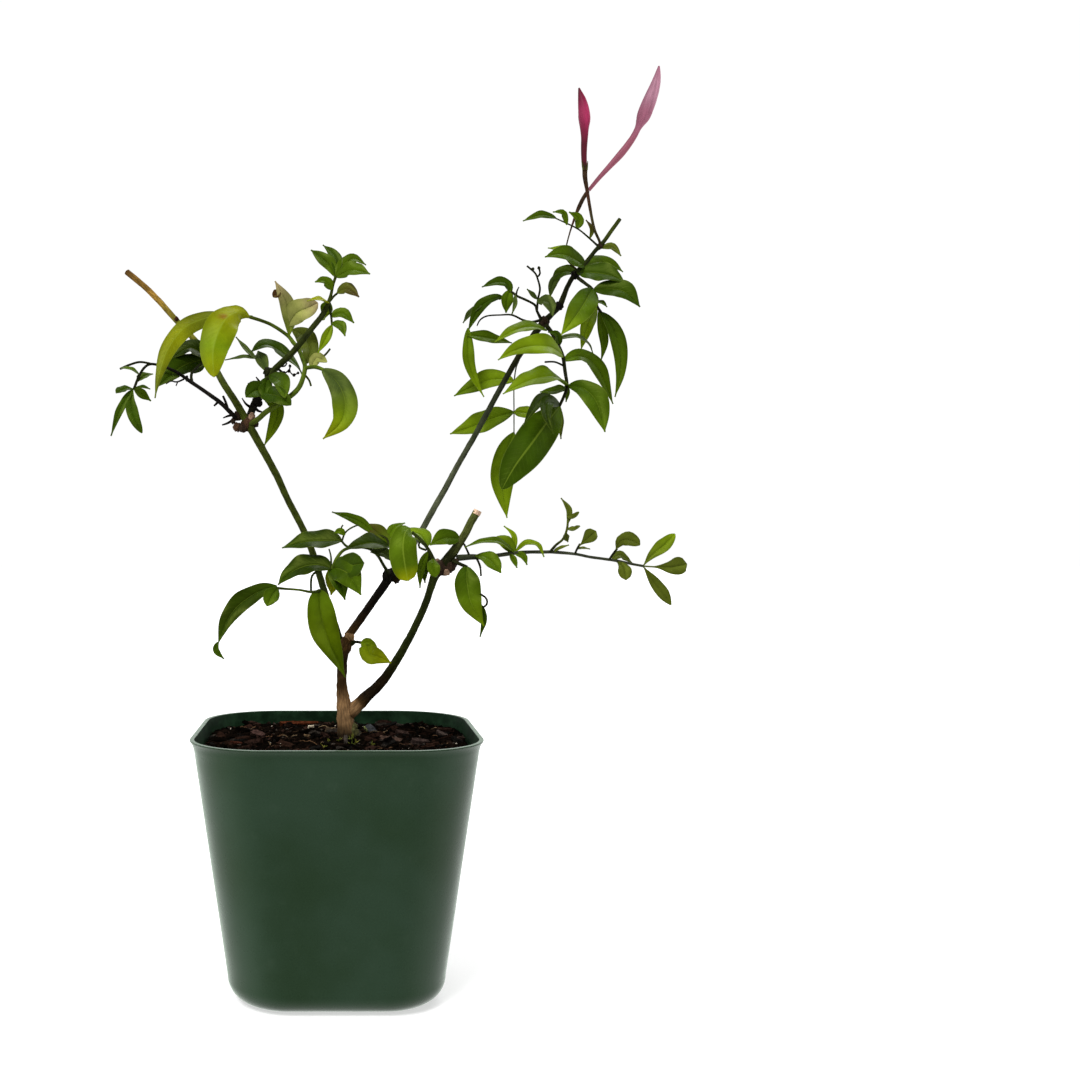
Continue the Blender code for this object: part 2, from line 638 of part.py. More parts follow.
def low_left_spray():
    """Leafy shoot on the first knot of the right stem: it spreads to the left, in front of both stems."""
    return [
        stem(
            (389, 574, -8, 0.8), (384, 566, -11, 0.7), (378, 558, -14, 0.7), (370, 552, -16, 0.7),
            (356, 550, -18, 0.65), (344, 551, -19, 0.65), (337, 559, -20, 0.6), (332, 569, -20, 0.6),
        ),
        stem((375, 555, -15, 0.6), (384, 550, -15, 0.6), (389, 545, -15, 0.6)),
        stem((350, 550, -18, 0.5), (345, 545, -18, 0.45), (341, 540, -18, 0.45)),
        stem((332, 568, -20, 0.5), (321, 571, -18, 0.45), (311, 577, -18, 0.45), (311, 591, -18, 0.45)),
        stem((320, 591, -17, 0.6), (311, 592, -18, 0.5), (300, 591, -18, 0.45), (288, 591, -18, 0.45),
             (276, 588, -19, 0.5)),
        leaf((342, 541, -18), (325, 541, -16), (305, 542, -15), (282, 548, -14), width=9.4, face=UPWARD,
             widest=0.4),
        leaf((332, 569, -20), (318, 565, -19), (303, 567, -19), (289, 574, -19), (278, 585, -20), width=8.8,
             face=UPWARD, widest=0.42),
        leaf((277, 586, -19), (262, 590, -20), (248, 598, -22), (235, 609, -24), (225, 624, -26),
             (218, 644, -28),
             width=6.8, face=LIFTED, widest=0.45),
        leaf((218, 642, -28), (216, 650, -28), (224, 659, -29), width=2.2, face=TOWARD),
        leaf((276, 588, -19), (271, 598, -21), (266, 607, -23), width=3.6, face=TOWARD, widest=0.6,
             tip=0.6),
        leaf((319, 589, -17), (320, 606, -17), (323, 624, -15), (330, 644, -12), (338, 661, -9),
             (345, 677, -7),
             width=10.2, face=TOWARD, widest=0.33, fold=22),
        leaf((331, 568, -19), (349, 566, -24), (364, 563, -28), width=7.2, face=TOWARD, widest=0.65,
             tip=0.5),
        leaf((331, 567, -19), (347, 573, -25), (361, 595, -29), width=6.8, face=TOWARD),
        leaf((332, 567, -19), (340, 582, -23), (345, 600, -25), width=4.6, face=TOWARD),
        leaf((331, 567, -20), (333, 583, -19), (331, 595, -18), width=4.0, face=TOWARD),
        leaf((389, 546, -15), (370, 541, -17), (346, 546, -20), width=7.2, face=UPWARD),
        leaf((374, 534, -13), (358, 521, -14), (332, 512, -17), width=3.4, face=LIFTED),
        leaf((390, 546, -15), (377, 532, -13), (361, 524, -12), width=5.6, face=LIFTED),
        stem((389, 546, -15, 0.5), (386, 538, -14, 0.45), (374, 534, -13, 0.45)),
        leaf((387, 540, -14), (394, 528, -13), (405, 523, -11), width=2.6, face=UPWARD),
        leaf((371, 552, -16), (384, 553, -13), (397, 563, -11), width=4.2, face=LIFTED),
        stem((331, 568, -20, 0.4), (331, 557, -18, 0.35), (329, 549, -17, 0.35)),
        stem((343, 541, -18, 0.4), (340, 534, -19, 0.35), (344, 527, -20, 0.35), (350, 531, -20, 0.35)),
    ]


def low_right_spray():
    """Short leafy shoot on the right arm's knot: a broad hanging leaf with a yellow tip and smaller ones."""
    return [
        stem(
            (436, 566, -23, 0.9), (432, 557, -24, 0.7), (428, 549, -24, 0.6), (421, 540, -24, 0.55),
            (412, 532, -24, 0.55),
        ),
        leaf((413, 532, -24), (406, 535, -28), (403, 548, -31), (405, 565, -32), (408, 581, -32), width=9.8,
             face=TOWARD, widest=0.6, tip=0.5, fold=-10),
        leaf((427, 547, -24), (421, 535, -20), (403, 529, -17), width=5.4, face=UPWARD),
        leaf((433, 558, -24), (433, 566, -27), (436, 577, -28), width=4.4, face=TOWARD, widest=0.6,
             tip=0.5),
        leaf((429, 551, -24), (424, 566, -20), (425, 583, -17), width=4.2, face=TOWARD),
        leaf((428, 552, -24), (421, 568, -22), (420, 588, -20), width=2.8, face=TOWARD),
        stem((426, 550, -24, 0.4), (419, 547, -22, 0.35), (420, 540, -21, 0.35)),
    ]


def stub_leaf():
    """Leaf on the left of the cut stub."""
    return [
        leaf((460, 539, -24), (444, 538, -25), (430, 545, -27), width=6.4, face=LIFTED),
    ]


def hanging_leaf():
    """Drooping leaf on its own stalk below the trailing branch, with a narrow one behind and a tendril."""
    return [
        stem((453, 561, -24, 0.7), (460, 564, -26, 0.6), (467, 567, -27, 0.55)),
        leaf((466, 566, -27), (467, 582, -30), (470, 600, -32), (476, 613, -33), (484, 626, -33), width=8.8,
             face=TOWARD, widest=0.4, fold=10),
        leaf((479, 602, -32), (484, 618, -31), (480, 637, -31), width=2.2, face=TOWARD),
        stem((480, 594, -32, 0.35), (486, 598, -32, 0.35), (487, 604, -32, 0.35), (482, 608, -32, 0.35)),
    ]


def trailing_branch():
    """Thin branch that reaches out to the right, with small leaves along it and a fan of them at its end."""
    return [
        stem(
            (457, 558, -23, 1.1), (470, 557, -22, 1.0), (485, 557, -21, 0.8), (500, 555, -20, 0.7),
            (515, 553, -19, 0.7), (530, 552, -18, 0.6), (545, 552, -17, 0.6), (553, 552, -16, 0.6),
            (575, 554, -14, 0.5), (590, 557, -12, 0.5), (605, 559, -10, 0.5), (618, 561, -8, 0.5),
            (632, 564, -6, 0.45), (643, 566, -5, 0.45),
        ),
        leaf((515, 553, -19), (500, 542, -23), (483, 541, -25), (465, 547, -27), width=3.2, face=UPWARD),
        leaf((515, 553, -19), (503, 541, -18), (490, 541, -17), width=5.0, face=LIFTED),
        leaf((514, 552, -19), (514, 536, -17), (504, 526, -15), width=2.0, face=TOWARD),
        leaf((516, 551, -19), (526, 543, -20), (538, 545, -21), (544, 557, -22), width=2.6, face=UPWARD),
        leaf((474, 556, -22), (488, 558, -26), (501, 573, -29), width=5.6, face=LIFTED, widest=0.6),
        leaf((510, 554, -20), (514, 560, -21), (517, 568, -22), width=2.2, face=TOWARD),
        leaf((514, 553, -19), (523, 556, -20), (527, 565, -21), width=2.6, face=LIFTED),
        stem((470, 557, -22, 0.4), (467, 550, -23, 0.35), (464, 544, -24, 0.35)),
        stem((476, 557, -22, 0.4), (480, 566, -23, 0.35), (481, 576, -24, 0.35)),
        stem((550, 552, -17, 0.5), (556, 545, -16, 0.45), (563, 539, -15, 0.4), (567, 529, -14, 0.4),
             (568, 518, -13, 0.4)),
        leaf((568, 523, -13), (569, 510, -12), (561, 498, -10), width=2.2, face=TOWARD),
        leaf((567, 517, -13), (573, 517, -14), (579, 512, -15), width=2.4, face=UPWARD, tip=0.5),
        leaf((567, 529, -14), (574, 529, -15), (580, 526, -16), width=2.4, face=UPWARD, tip=0.5),
        leaf((566, 533, -14), (566, 537, -13), (568, 542, -12), width=2.4, face=TOWARD),
        leaf((553, 552, -16), (560, 548, -17), (569, 545, -18), width=1.6, face=UPWARD),
        stem((575, 554, -14, 0.4), (577, 549, -15, 0.4), (580, 544, -16, 0.4)),
        leaf((579, 546, -16), (586, 540, -17), (596, 531, -18), width=5.0, face=LIFTED, widest=0.7,
             tip=0.45),
        leaf((577, 549, -15), (583, 548, -14), (590, 549, -13), width=1.3, face=UPWARD),
        stem((609, 560, -10, 0.4), (613, 554, -11, 0.4), (617, 549, -12, 0.4)),
        leaf((616, 550, -12), (621, 541, -13), (630, 540, -14), (640, 545, -15), width=5.6, face=LIFTED,
             widest=0.6, tip=0.6),
        leaf((612, 560, -9), (620, 555, -7), (632, 563, -5), width=3.2, face=LIFTED),
        leaf((616, 561, -8), (623, 567, -10), (626, 580, -12), width=5.0, face=TOWARD, widest=0.65,
             tip=0.5),
        leaf((643, 566, -5), (652, 555, -4), (664, 545, -3), (675, 534, -2), width=5.0, face=LIFTED,
             widest=0.62,
             tip=0.6),
        leaf((643, 566, -5), (658, 567, -8), (673, 567, -11), (687, 564, -13), width=6.4, face=TOWARD,
             widest=0.8, tip=0.4),
        leaf((643, 566, -5), (652, 579, -6), (661, 591, -7), (671, 605, -8), width=4.6, face=TOWARD,
             widest=0.6,
             tip=0.7),
    ]


def upper_left_spray():
    """Wiry shoot on the second knot of the right stem: arched leaves, a long strap and a budded twig."""
    return [
        stem(
            (541, 319, 16, 0.6), (537, 311, 14, 0.5), (535, 305, 14, 0.45), (526, 300, 15, 0.45),
            (517, 296, 16, 0.45), (511, 292, 17, 0.5), (505, 296, 18, 0.5), (499, 299, 19, 0.45),
        ),
        leaf((511, 293, 17), (507, 284, 17), (497, 282, 16), (482, 287, 14), width=4.2, face=LIFTED),
        leaf((510, 290, 17), (507, 300, 17), (506, 313, 18), width=4.6, face=TOWARD),
        leaf((515, 295, 16), (515, 304, 14), (512, 314, 13), width=1.8, face=TOWARD),
        leaf((503, 297, 18), (490, 300, 21), (478, 310, 23), (468, 331, 24), width=4.8, face=LIFTED,
             widest=0.4),
        leaf((468, 328, 24), (468, 345, 23), (469, 362, 22), (475, 380, 21), (484, 397, 20), width=4.6,
             face=TOWARD, widest=0.4),
        leaf((482, 306, 22), (471, 312, 25), (463, 323, 28), width=2.8, face=LIFTED),
        leaf((467, 335, 23), (489, 338, 26), (512, 343, 27), width=5.4, face=LIFTED),
        stem((537, 310, 14, 0.45), (538, 299, 12, 0.4), (540, 289, 11, 0.4), (538, 280, 10, 0.35),
             (535, 273, 9, 0.35), (527, 266, 8, 0.35)),
        knot((533, 269, 9), 0.55),
        stem((537, 277, 10, 0.35), (540, 274, 10, 0.35), (539, 268, 10, 0.35)),
        knot((539, 268, 10), 0.55),
        leaf((537, 299, 12), (532, 294, 11), (527, 289, 10), width=1.9, face=TOWARD),
        leaf((537, 301, 12), (548, 302, 8), (553, 316, 5), width=5.0, face=TOWARD, widest=0.45),
    ]


def upper_middle_spray():
    """Drooping shoot on the second knot of the right stem: bright arched leaves and a broad dark one."""
    return [
        stem(
            (546, 325, 15, 0.8), (552, 333, 13, 0.75), (558, 345, 11, 0.7), (563, 357, 9, 0.7),
            (565, 371, 7, 0.65), (567, 386, 5, 0.6), (564, 396, 3, 0.55), (559, 407, 1, 0.55),
        ),
        leaf((547, 330, 14), (530, 327, 10), (513, 331, 7), (495, 342, 5), width=6.6, face=UPWARD),
        leaf((563, 356, 9), (550, 347, 2), (531, 346, -2), (513, 351, -4), (498, 360, -5), width=9.2,
             face=LIFTED, widest=0.42),
        leaf((567, 385, 5), (553, 377, -2), (534, 379, -6), (517, 386, -8), (503, 394, -9), width=10.2,
             face=UPWARD, widest=0.42),
        leaf((566, 390, 4), (554, 391, 9), (540, 392, 13), width=4.8, face=LIFTED),
        leaf((566, 383, 6), (567, 394, 7), (566, 402, 8), width=2.2, face=TOWARD),
        leaf((560, 406, 1), (548, 421, -6), (532, 443, -12), (515, 466, -16), (502, 489, -18), width=13.2,
             face=TOWARD, widest=0.48, tip=0.95, fold=-8),
        leaf((559, 407, 1), (560, 422, 5), (561, 439, 8), width=2.8, face=TOWARD),
        leaf((567, 386, 5), (583, 388, 1), (597, 403, -3), (605, 432, -7), width=8.6, face=TOWARD,
             widest=0.5),
        leaf((563, 361, 9), (581, 356, 12), (598, 369, 15), (613, 404, 17), width=6.6, face=LIFTED,
             widest=0.42),
        stem((564, 366, 8, 0.4), (555, 362, 6, 0.35), (545, 362, 4, 0.35)),
        leaf((556, 340, 12), (574, 336, 14), (588, 343, 17), (593, 354, 19), width=3.2, face=UPWARD),
        leaf((559, 346, 11), (557, 335, 9), (548, 332, 8), width=3.2, face=LIFTED),
    ]


def upper_hanging_leaf():
    """Compound leaf that hangs on a thin thread behind the right stem: five leaflets."""
    return [
        stem((521, 357, 21, 0.5), (516, 368, 25, 0.4), (514, 385, 27, 0.4), (514, 412, 28, 0.4),
             (514, 434, 28, 0.4)),
        leaf((514, 381, 27), (495, 379, 28), (476, 385, 30), (454, 396, 32), width=8.4, face=LIFTED),
        leaf((514, 412, 28), (497, 417, 29), (477, 425, 31), (450, 434, 33), width=9.4, face=LIFTED,
             widest=0.45),
        leaf((514, 412, 28), (526, 413, 26), (538, 417, 24), width=5.6, face=LIFTED),
        leaf((514, 432, 28), (507, 450, 28), (502, 476, 28), (504, 500, 27), (507, 518, 26), width=9.6,
             face=TOWARD, widest=0.45),
    ]


def top_shoot():
    """Leafy tip of the right stem: a knot with five arched leaves, the twig with leaflets and a cut end."""
    return [
        stem(
            (573, 277, 13, 1.0), (580, 269, 12, 1.0), (588, 260, 12, 0.8), (595, 251, 12, 0.75),
            (600, 246, 12, 0.9), (605, 240, 12, 0.75), (612, 230, 12, 0.75), (620, 219, 12, 0.7),
        ),
        knot((575, 275, 13), 1.5),
        knot((600, 246, 12), 1.1),
        leaf((586, 267, 12), (574, 259, 9), (561, 254, 7), (545, 257, 5), width=7.2, face=UPWARD,
             widest=0.42),
        leaf((583, 264, 12), (567, 251, 16), (548, 248, 20), width=3.8, face=UPWARD),
        leaf((576, 273, 14), (563, 272, 17), (551, 281, 19), width=5.6, face=LIFTED),
        leaf((562, 273, 17), (553, 283, 19), (550, 298, 20), width=3.4, face=TOWARD),
        leaf((585, 266, 12), (600, 262, 16), (613, 265, 18), (623, 272, 19), width=4.8, face=UPWARD),
        leaf((577, 272, 12), (596, 273, 8), (612, 276, 5), (625, 283, 3), width=7.8, face=UPWARD,
             widest=0.45),
        stem((598, 246, 12, 0.55), (588, 237, 11, 0.45), (578, 229, 10, 0.4), (566, 223, 9, 0.35),
             (555, 218, 8, 0.35)),
        leaf((556, 218, 8), (541, 215, 7), (523, 221, 6), width=3.4, face=LIFTED),
        leaf((567, 225, 9), (563, 213, 8), (553, 212, 6), width=2.4, face=TOWARD),
        leaf((577, 229, 10), (579, 219, 10), (569, 212, 9), width=3.6, face=TOWARD),
        leaf((589, 237, 11), (589, 227, 11), (583, 219, 12), width=2.2, face=TOWARD),
        leaf((601, 248, 12), (612, 247, 11), (621, 256, 9), width=3.2, face=LIFTED),
    ]


def upper_right_spray():
    """Shoot on the right of the top knot: a front leaf, an arched dark one and long hanging leaves."""
    return [
        stem(
            (578, 278, 11, 0.7), (586, 284, 8, 0.6), (592, 289, 6, 0.6), (597, 298, 8, 0.55),
            (597, 306, 9, 0.5),
            (601, 312, 10, 0.5),
        ),
        leaf((592, 288, 6), (585, 302, 1), (574, 318, -3), (561, 335, -5), width=9.2, face=TOWARD,
             widest=0.45),
        leaf((593, 290, 6), (608, 289, 4), (625, 292, 2), (640, 307, 0), width=7.2, face=UPWARD,
             widest=0.45),
        leaf((601, 312, 10), (613, 328, 8), (620, 352, 7), (620, 375, 6), (615, 397, 5), width=5.8,
             face=TOWARD,
             widest=0.4),
        leaf((599, 310, 10), (602, 328, 12), (604, 345, 13), (601, 361, 14), width=3.8, face=TOWARD),
        leaf((597, 301, 8), (603, 303, 6), (607, 307, 5), width=2.0, face=LIFTED),
        leaf((597, 308, 9), (588, 323, 17), (581, 350, 23), width=5.2, face=TOWARD),
    ]


def left_bud_stalk():
    """Green-brown stalk and calyx of the upright bud."""
    return [
        stem(
            (599, 241, 11, 0.5), (594, 228, 10, 0.5), (590, 208, 8, 0.55), (587, 190, 6, 0.7),
            (585, 177, 5, 1.0),
            (585, 168, 5, 1.0),
        ),
    ]


def right_bud_stalk():
    """Thin stalk and dark calyx of the leaning bud."""
    return [
        stem(
            (577, 270, 14, 0.45), (566, 258, 13, 0.4), (566, 248, 13, 0.4), (570, 232, 13, 0.4),
            (575, 217, 13, 0.5), (579, 207, 13, 0.75), (584, 197, 13, 0.75), (588, 191, 13, 0.7),
        ),
    ]


def left_bud():
    """Upright closed bud, deep magenta: a slim tube that swells to a pointed tip."""
    return [
        stem(
            (584.5, 167, 5, 0.95), (584, 158, 5, 0.9), (584, 148, 5, 0.95), (584.5, 137, 5, 1.15),
            (584.5, 128, 5, 1.6), (584.5, 119, 5, 2.1), (583.5, 109, 5, 1.95), (582, 100, 5, 1.45),
            (580.5, 94, 5, 0.9), (579, 88, 5, 0.3),
        ),
    ]


def right_bud():
    """Leaning closed bud, light pink: a long tube that swells to a pointed tip."""
    return [
        stem(
            (589, 190, 13, 0.65), (599, 178, 13, 0.8), (609, 167, 12, 1.0), (620, 155, 12, 1.3),
            (628, 145, 11, 1.2), (634, 136, 11, 1.05), (639, 126, 10, 1.3), (643, 117, 10, 2.0),
            (647, 107, 9, 2.2), (651, 97, 9, 2.0), (655, 86, 8, 1.6), (657.5, 76, 8, 1.0),
            (659, 66, 8, 0.3),
        ),
    ]


# Every leafy or woody piece with its look and the pieces that it is kept a gap clear of.
PIECES = (
    (trunk, BARK_BROWN, ()),
    (left_stem, STEM_GREEN, ("trunk",)),
    (right_stem, STEM_GREEN, ("trunk",)),
    (right_arm, STEM_GREEN, ("trunk",)),
    (trunk_leaf, LEAF_GREEN, ("trunk",)),
    (left_low_spray, LEAF_GREEN, ("left_stem",)),
    (left_yellow_spray, OLIVE_GREEN, ("left_stem",)),
    (left_upper_spray, LEAF_GREEN, ("left_stem",)),
    (low_left_spray, LEAF_GREEN, ("right_stem",)),
    (low_right_spray, LEAF_GREEN, ("right_arm",)),
    (stub_leaf, LEAF_GREEN, ("right_arm",)),
    (trailing_branch, OLIVE_GREEN, ("right_arm",)),
    (hanging_leaf, LEAF_GREEN, ("right_arm", "trailing_branch")),
    (upper_left_spray, LEAF_GREEN, ("right_stem",)),
    (upper_middle_spray, LEAF_GREEN, ("right_stem",)),
    (upper_hanging_leaf, LEAF_GREEN, ("right_stem",)),
    (top_shoot, LEAF_GREEN, ("right_stem",)),
    (upper_right_spray, LEAF_GREEN, ("top_shoot", "right_stem")),
    (left_bud_stalk, STALK_BROWN, ("top_shoot",)),
    (right_bud_stalk, STALK_BROWN, ("top_shoot", "right_stem")),
    (left_bud, BUD_MAGENTA, ("left_bud_stalk",)),
    (right_bud, BUD_PINK, ("right_bud_stalk",)),
)

clear_scene()
PLANT = new_collection("potted_pink_jasmine")
CUTTERS = new_collection("cutters")
WORKSHOP = new_collection("workshop")
finish("pot", pot(), POT_GREEN)
finish("soil", soil(), SOIL_BROWN)
# Thin blades in round stems: EXACT leaves double faces there, MANIFOLD doesn't.
for piece, look, neighbours in PIECES:
    body = union_of(piece(), "MANIFOLD")
    if neighbours:
        body = cut_by(body, [clearance_of(PLANT.objects[name]) for name in neighbours], "MANIFOLD")
    finish(piece.__name__, body, look)
bpy.data.collections.remove(WORKSHOP)
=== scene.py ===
"""Looks of the potted pink jasmine: fine leaves, bark, buds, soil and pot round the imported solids.

Metres, +Z up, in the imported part's own frame. Every fine piece keeps the place of the solid that it replaces.
"""

import math
import random
from collections import namedtuple

import bmesh
import bpy
import numpy as np
from mathutils import Matrix, Vector, noise


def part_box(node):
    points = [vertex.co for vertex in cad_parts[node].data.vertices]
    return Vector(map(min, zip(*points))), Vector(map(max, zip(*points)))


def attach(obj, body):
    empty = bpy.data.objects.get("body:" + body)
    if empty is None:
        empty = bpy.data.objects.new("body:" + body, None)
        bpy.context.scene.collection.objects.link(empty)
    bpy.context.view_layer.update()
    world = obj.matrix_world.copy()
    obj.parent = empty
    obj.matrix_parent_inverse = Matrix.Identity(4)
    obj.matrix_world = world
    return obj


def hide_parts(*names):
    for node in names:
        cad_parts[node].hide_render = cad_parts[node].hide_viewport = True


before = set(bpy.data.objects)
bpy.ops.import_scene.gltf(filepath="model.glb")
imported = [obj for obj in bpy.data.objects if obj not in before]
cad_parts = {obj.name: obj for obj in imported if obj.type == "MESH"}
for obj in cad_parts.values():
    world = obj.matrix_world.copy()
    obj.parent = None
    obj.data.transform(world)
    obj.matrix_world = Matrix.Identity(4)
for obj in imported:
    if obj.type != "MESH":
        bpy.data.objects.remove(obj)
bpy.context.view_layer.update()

MM = 0.001

# Pot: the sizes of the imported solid.
POT_LOW, POT_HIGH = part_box("pot")
POT_HEIGHT = POT_HIGH.z
RIM_WIDTH = POT_HIGH.x - POT_LOW.x
BASE_WIDTH = 74.5 * MM
RIM_CORNER = 27.8 * MM
BASE_CORNER = 21.4 * MM
LOWER_EDGE = 8.0 * MM
WALL = 1.0 * MM
LIP_HEIGHT = 1.9 * MM
LIP_OUT = 1.5 * MM
LIP_TRIM = 0.6 * MM
LIP_FLARE = 4.0 * MM
LIP_ROUND = 0.2 * MM
LIP_STEPS = 6
RIM_WALL = 0.6 * MM
CORNER_STEPS = 28
SIDE_STEPS = 12
EDGE_STEPS = 12
WALL_STEPS = 24
HOLE_SIDES = 48
DRAIN_HOLE = 4.0 * MM
DRAIN_PLACE = 17.0 * MM

# Soil: it fills the pot to just below the lip, with bark, grit and fibres in its surface.
SOIL_TOP = 84.6 * MM
SOIL_MOUND = 1.6 * MM
SOIL_RINGS = 64
SOIL_LUMPS = ((7.0 * MM, 1.1 * MM), (2.6 * MM, 0.8 * MM), (1.1 * MM, 0.35 * MM))
GAP = 0.3 * MM
CHIP_COUNT = 430
CHIP_LENGTH = (1.6, 7.5)
GRIT_COUNT = 900
GRIT_SIZE = (0.35, 1.1)
FIBRE_COUNT = 26

# Front drawing of the plant. A place on it is (across, down, depth): across and down in the drawing's own
# steps from its upper left corner, and depth in millimetres behind the middle of the pot. The drawing is
# made from one viewpoint, so a place slides along its line of sight when its depth changes.
EYE = Vector((0.0, -430.0 * MM, 151.3 * MM))
VIEW_MIDDLE = (336.7, 553.5)
VIEW_LENGTH = 1209
DRAWING_WIDTH = 1080
SENSOR = 36.0

# Ways in which the upper side of a leaf looks.
TOWARD = Vector((0.0, -1.0, 0.15))
LIFTED = Vector((0.0, -0.9, 0.43))
UPWARD = Vector((0.0, -0.68, 0.73))

# Leaf blades: thin and waved, with a sunk midrib that stands out below.
LEAF_END = 0.5 * MM
LEAF_STEP = 0.85 * MM
LEAF_ROWS = (10, 48)
COLUMNS = (-1.0, -0.88, -0.7, -0.48, -0.27, -0.12, -0.045, 0.0, 0.045, 0.12, 0.27, 0.48, 0.7, 0.88, 1.0)
SMALL_COLUMNS = (-1.0, -0.72, -0.4, -0.12, 0.0, 0.12, 0.4, 0.72, 1.0)
SMALL_LEAF = 3.0
BLADE_MIDDLE = 0.36 * MM
BLADE_MARGIN = 0.16 * MM
VEIN_SPACING = 2.3 * MM
GROOVE_DEPTH = 0.14 * MM
GROOVE_WIDTH = 0.3 * MM
RIB_SIDES = 6
RIB_THICK = 0.3 * MM
RIB_THIN = 0.1 * MM

# Light of the surroundings away from the horizon: all round, and added from the ground beside and behind.
HALL_LIGHT = 0.2
SIDE_LIGHT = 1.15

# Twigs: round, slightly uneven.
TWIG_STEP = 0.9 * MM
TWIG_SIDES = (8, 18)
TWIG_ROUGH = 0.07
SHARP_EDGE = math.radians(50)
TRUNK_FOOT = (346, 806, 4)

# Tints of leaves, from the youngest to the oldest, and of wood and petals: linear red, green and blue.
DEEP = (0.013, 0.027, 0.0008)
DARK = (0.024, 0.052, 0.0012)
MID = (0.058, 0.105, 0.0020)
LIME = (0.135, 0.205, 0.0030)
YELLOW = (0.205, 0.225, 0.0016)
OLIVE = (0.066, 0.084, 0.0080)
GREY = (0.045, 0.070, 0.0140)
PALE = (0.300, 0.310, 0.0800)
BROWN = (0.045, 0.016, 0.0080)
VEIN = (0.230, 0.310, 0.0300)
CREAM = (0.330, 0.250, 0.130)
STAIN = (0.180, 0.085, 0.006)
GLOSS_TINT = (0.8, 1.0, 0.12)
SHOOT = (0.040, 0.050, 0.0070)
SHOOT_GREEN = (0.075, 0.115, 0.0080)
TWIG_DARK = (0.0125, 0.0145, 0.0040)
BLACK = (0.0060, 0.0050, 0.0036)
STEM_GREY = (0.062, 0.070, 0.038)
STEM_SHADE = (0.030, 0.036, 0.018)
STEM_GREEN = (0.022, 0.030, 0.0045)
TENDER = (0.030, 0.045, 0.0060)
BRANCH_GREY = (0.046, 0.052, 0.030)
STEM_OLIVE = (0.042, 0.056, 0.0060)
STUB_GREEN = (0.078, 0.092, 0.020)
KNOT_RED = (0.060, 0.030, 0.016)
KNOT_DARK = (0.030, 0.018, 0.011)
KNOT_PALE = (0.240, 0.150, 0.100)
MOSS_WOOD = (0.052, 0.050, 0.018)
BARK = (0.068, 0.034, 0.011)
BARK_PALE = (0.330, 0.190, 0.085)
BARK_DARK = (0.018, 0.0110, 0.0045)
DRY = (0.270, 0.150, 0.026)
DRY_GREEN = (0.120, 0.112, 0.012)
DRY_TIP = (0.090, 0.045, 0.010)
CUT_WOOD = (0.700, 0.480, 0.330)
CUT_DARK = (0.060, 0.045, 0.030)
MAGENTA_DEEP = (0.085, 0.004, 0.014)
MAGENTA = (0.185, 0.009, 0.040)
MAGENTA_BRIGHT = (0.330, 0.024, 0.085)
PINK_DEEP = (0.300, 0.085, 0.125)
PINK = (0.330, 0.110, 0.170)
PINK_PALE = (0.430, 0.200, 0.275)
STALK_BROWN = (0.050, 0.040, 0.014)
STALK_RED = (0.085, 0.035, 0.020)
CALYX_GREEN = (0.060, 0.060, 0.012)
CALYX_DARK = (0.035, 0.020, 0.010)

# Buds: petals furled round each other, with as many seams.
PETAL_COUNT = 5
SEAM_DEPTH = 0.08
SEAM_TWIST = math.radians(150)
# Painted light: each bud's tint is lighter on its side towards +x and darker on the far side, by this share.
PAINTED_LIGHT_SIDE = 0.4
BUD_SIDES = 40
BUD_STEP = 0.35 * MM

random.seed(23)
Form = namedtuple("Form", "group points faces slots tints grains")


def at(across, down, depth):
    """The point in space of a place on the front drawing."""
    scale = (depth * MM - EYE.y) / VIEW_LENGTH
    return Vector(((across - VIEW_MIDDLE[0]) * scale, depth * MM, EYE.z - (down - VIEW_MIDDLE[1]) * scale))


def smooth(values, pieces):
    """Points of a smooth curve through the given ones, with each stretch cut into pieces."""
    last = len(values) - 1
    line = []
    for i in range(last):
        before = values[max(i - 1, 0)]
        start = values[i]
        end = values[i + 1]
        after = values[min(i + 2, last)]
        for k in range(pieces):
            t = k / pieces
            line.append((
                start * 2
                + (end - before) * t
                + (before * 2 - start * 5 + end * 4 - after) * t**2
                + (start * 3 - before - end * 3 + after) * t**3
            ) / 2)
    line.append(values[last])
    return line


def lengths_of(line):
    """Length from a line's start to each of its points."""
    lengths = [0.0]
    for a, b in zip(line, line[1:]):
        lengths.append(lengths[-1] + (b - a).length)
    return lengths


def along(line, lengths, t):
    """Point and direction at a share of the way along a line."""
    goal = t * lengths[-1]
    i = 0
    while i < len(line) - 2 and lengths[i + 1] < goal:
        i += 1
    share = (goal - lengths[i]) / (lengths[i + 1] - lengths[i])
    ahead = line[min(i + 2, len(line) - 1)]
    behind = line[max(i - 1, 0)]
    return line[i].lerp(line[i + 1], share), (ahead - behind).normalized()


def tint_at(tints, t):
    """Tint at a share of the way through one tint or an even row of them."""
    if not isinstance(tints[0], tuple):
        return tints
    place = min(max(t, 0.0), 1.0) * (len(tints) - 1)
    i = min(int(place), len(tints) - 2)
    share = place - i
    return tuple(a + (b - a) * share for a, b in zip(tints[i], tints[i + 1]))


def width_at(t, widest, base, tip):
    """Share of a leaf's full width at a share of its length."""
    bulge = math.sin(math.pi * min(t, 1.0) ** (math.log(0.5) / math.log(widest)))
    return max(bulge, 0.0) ** (base if t < widest else tip)


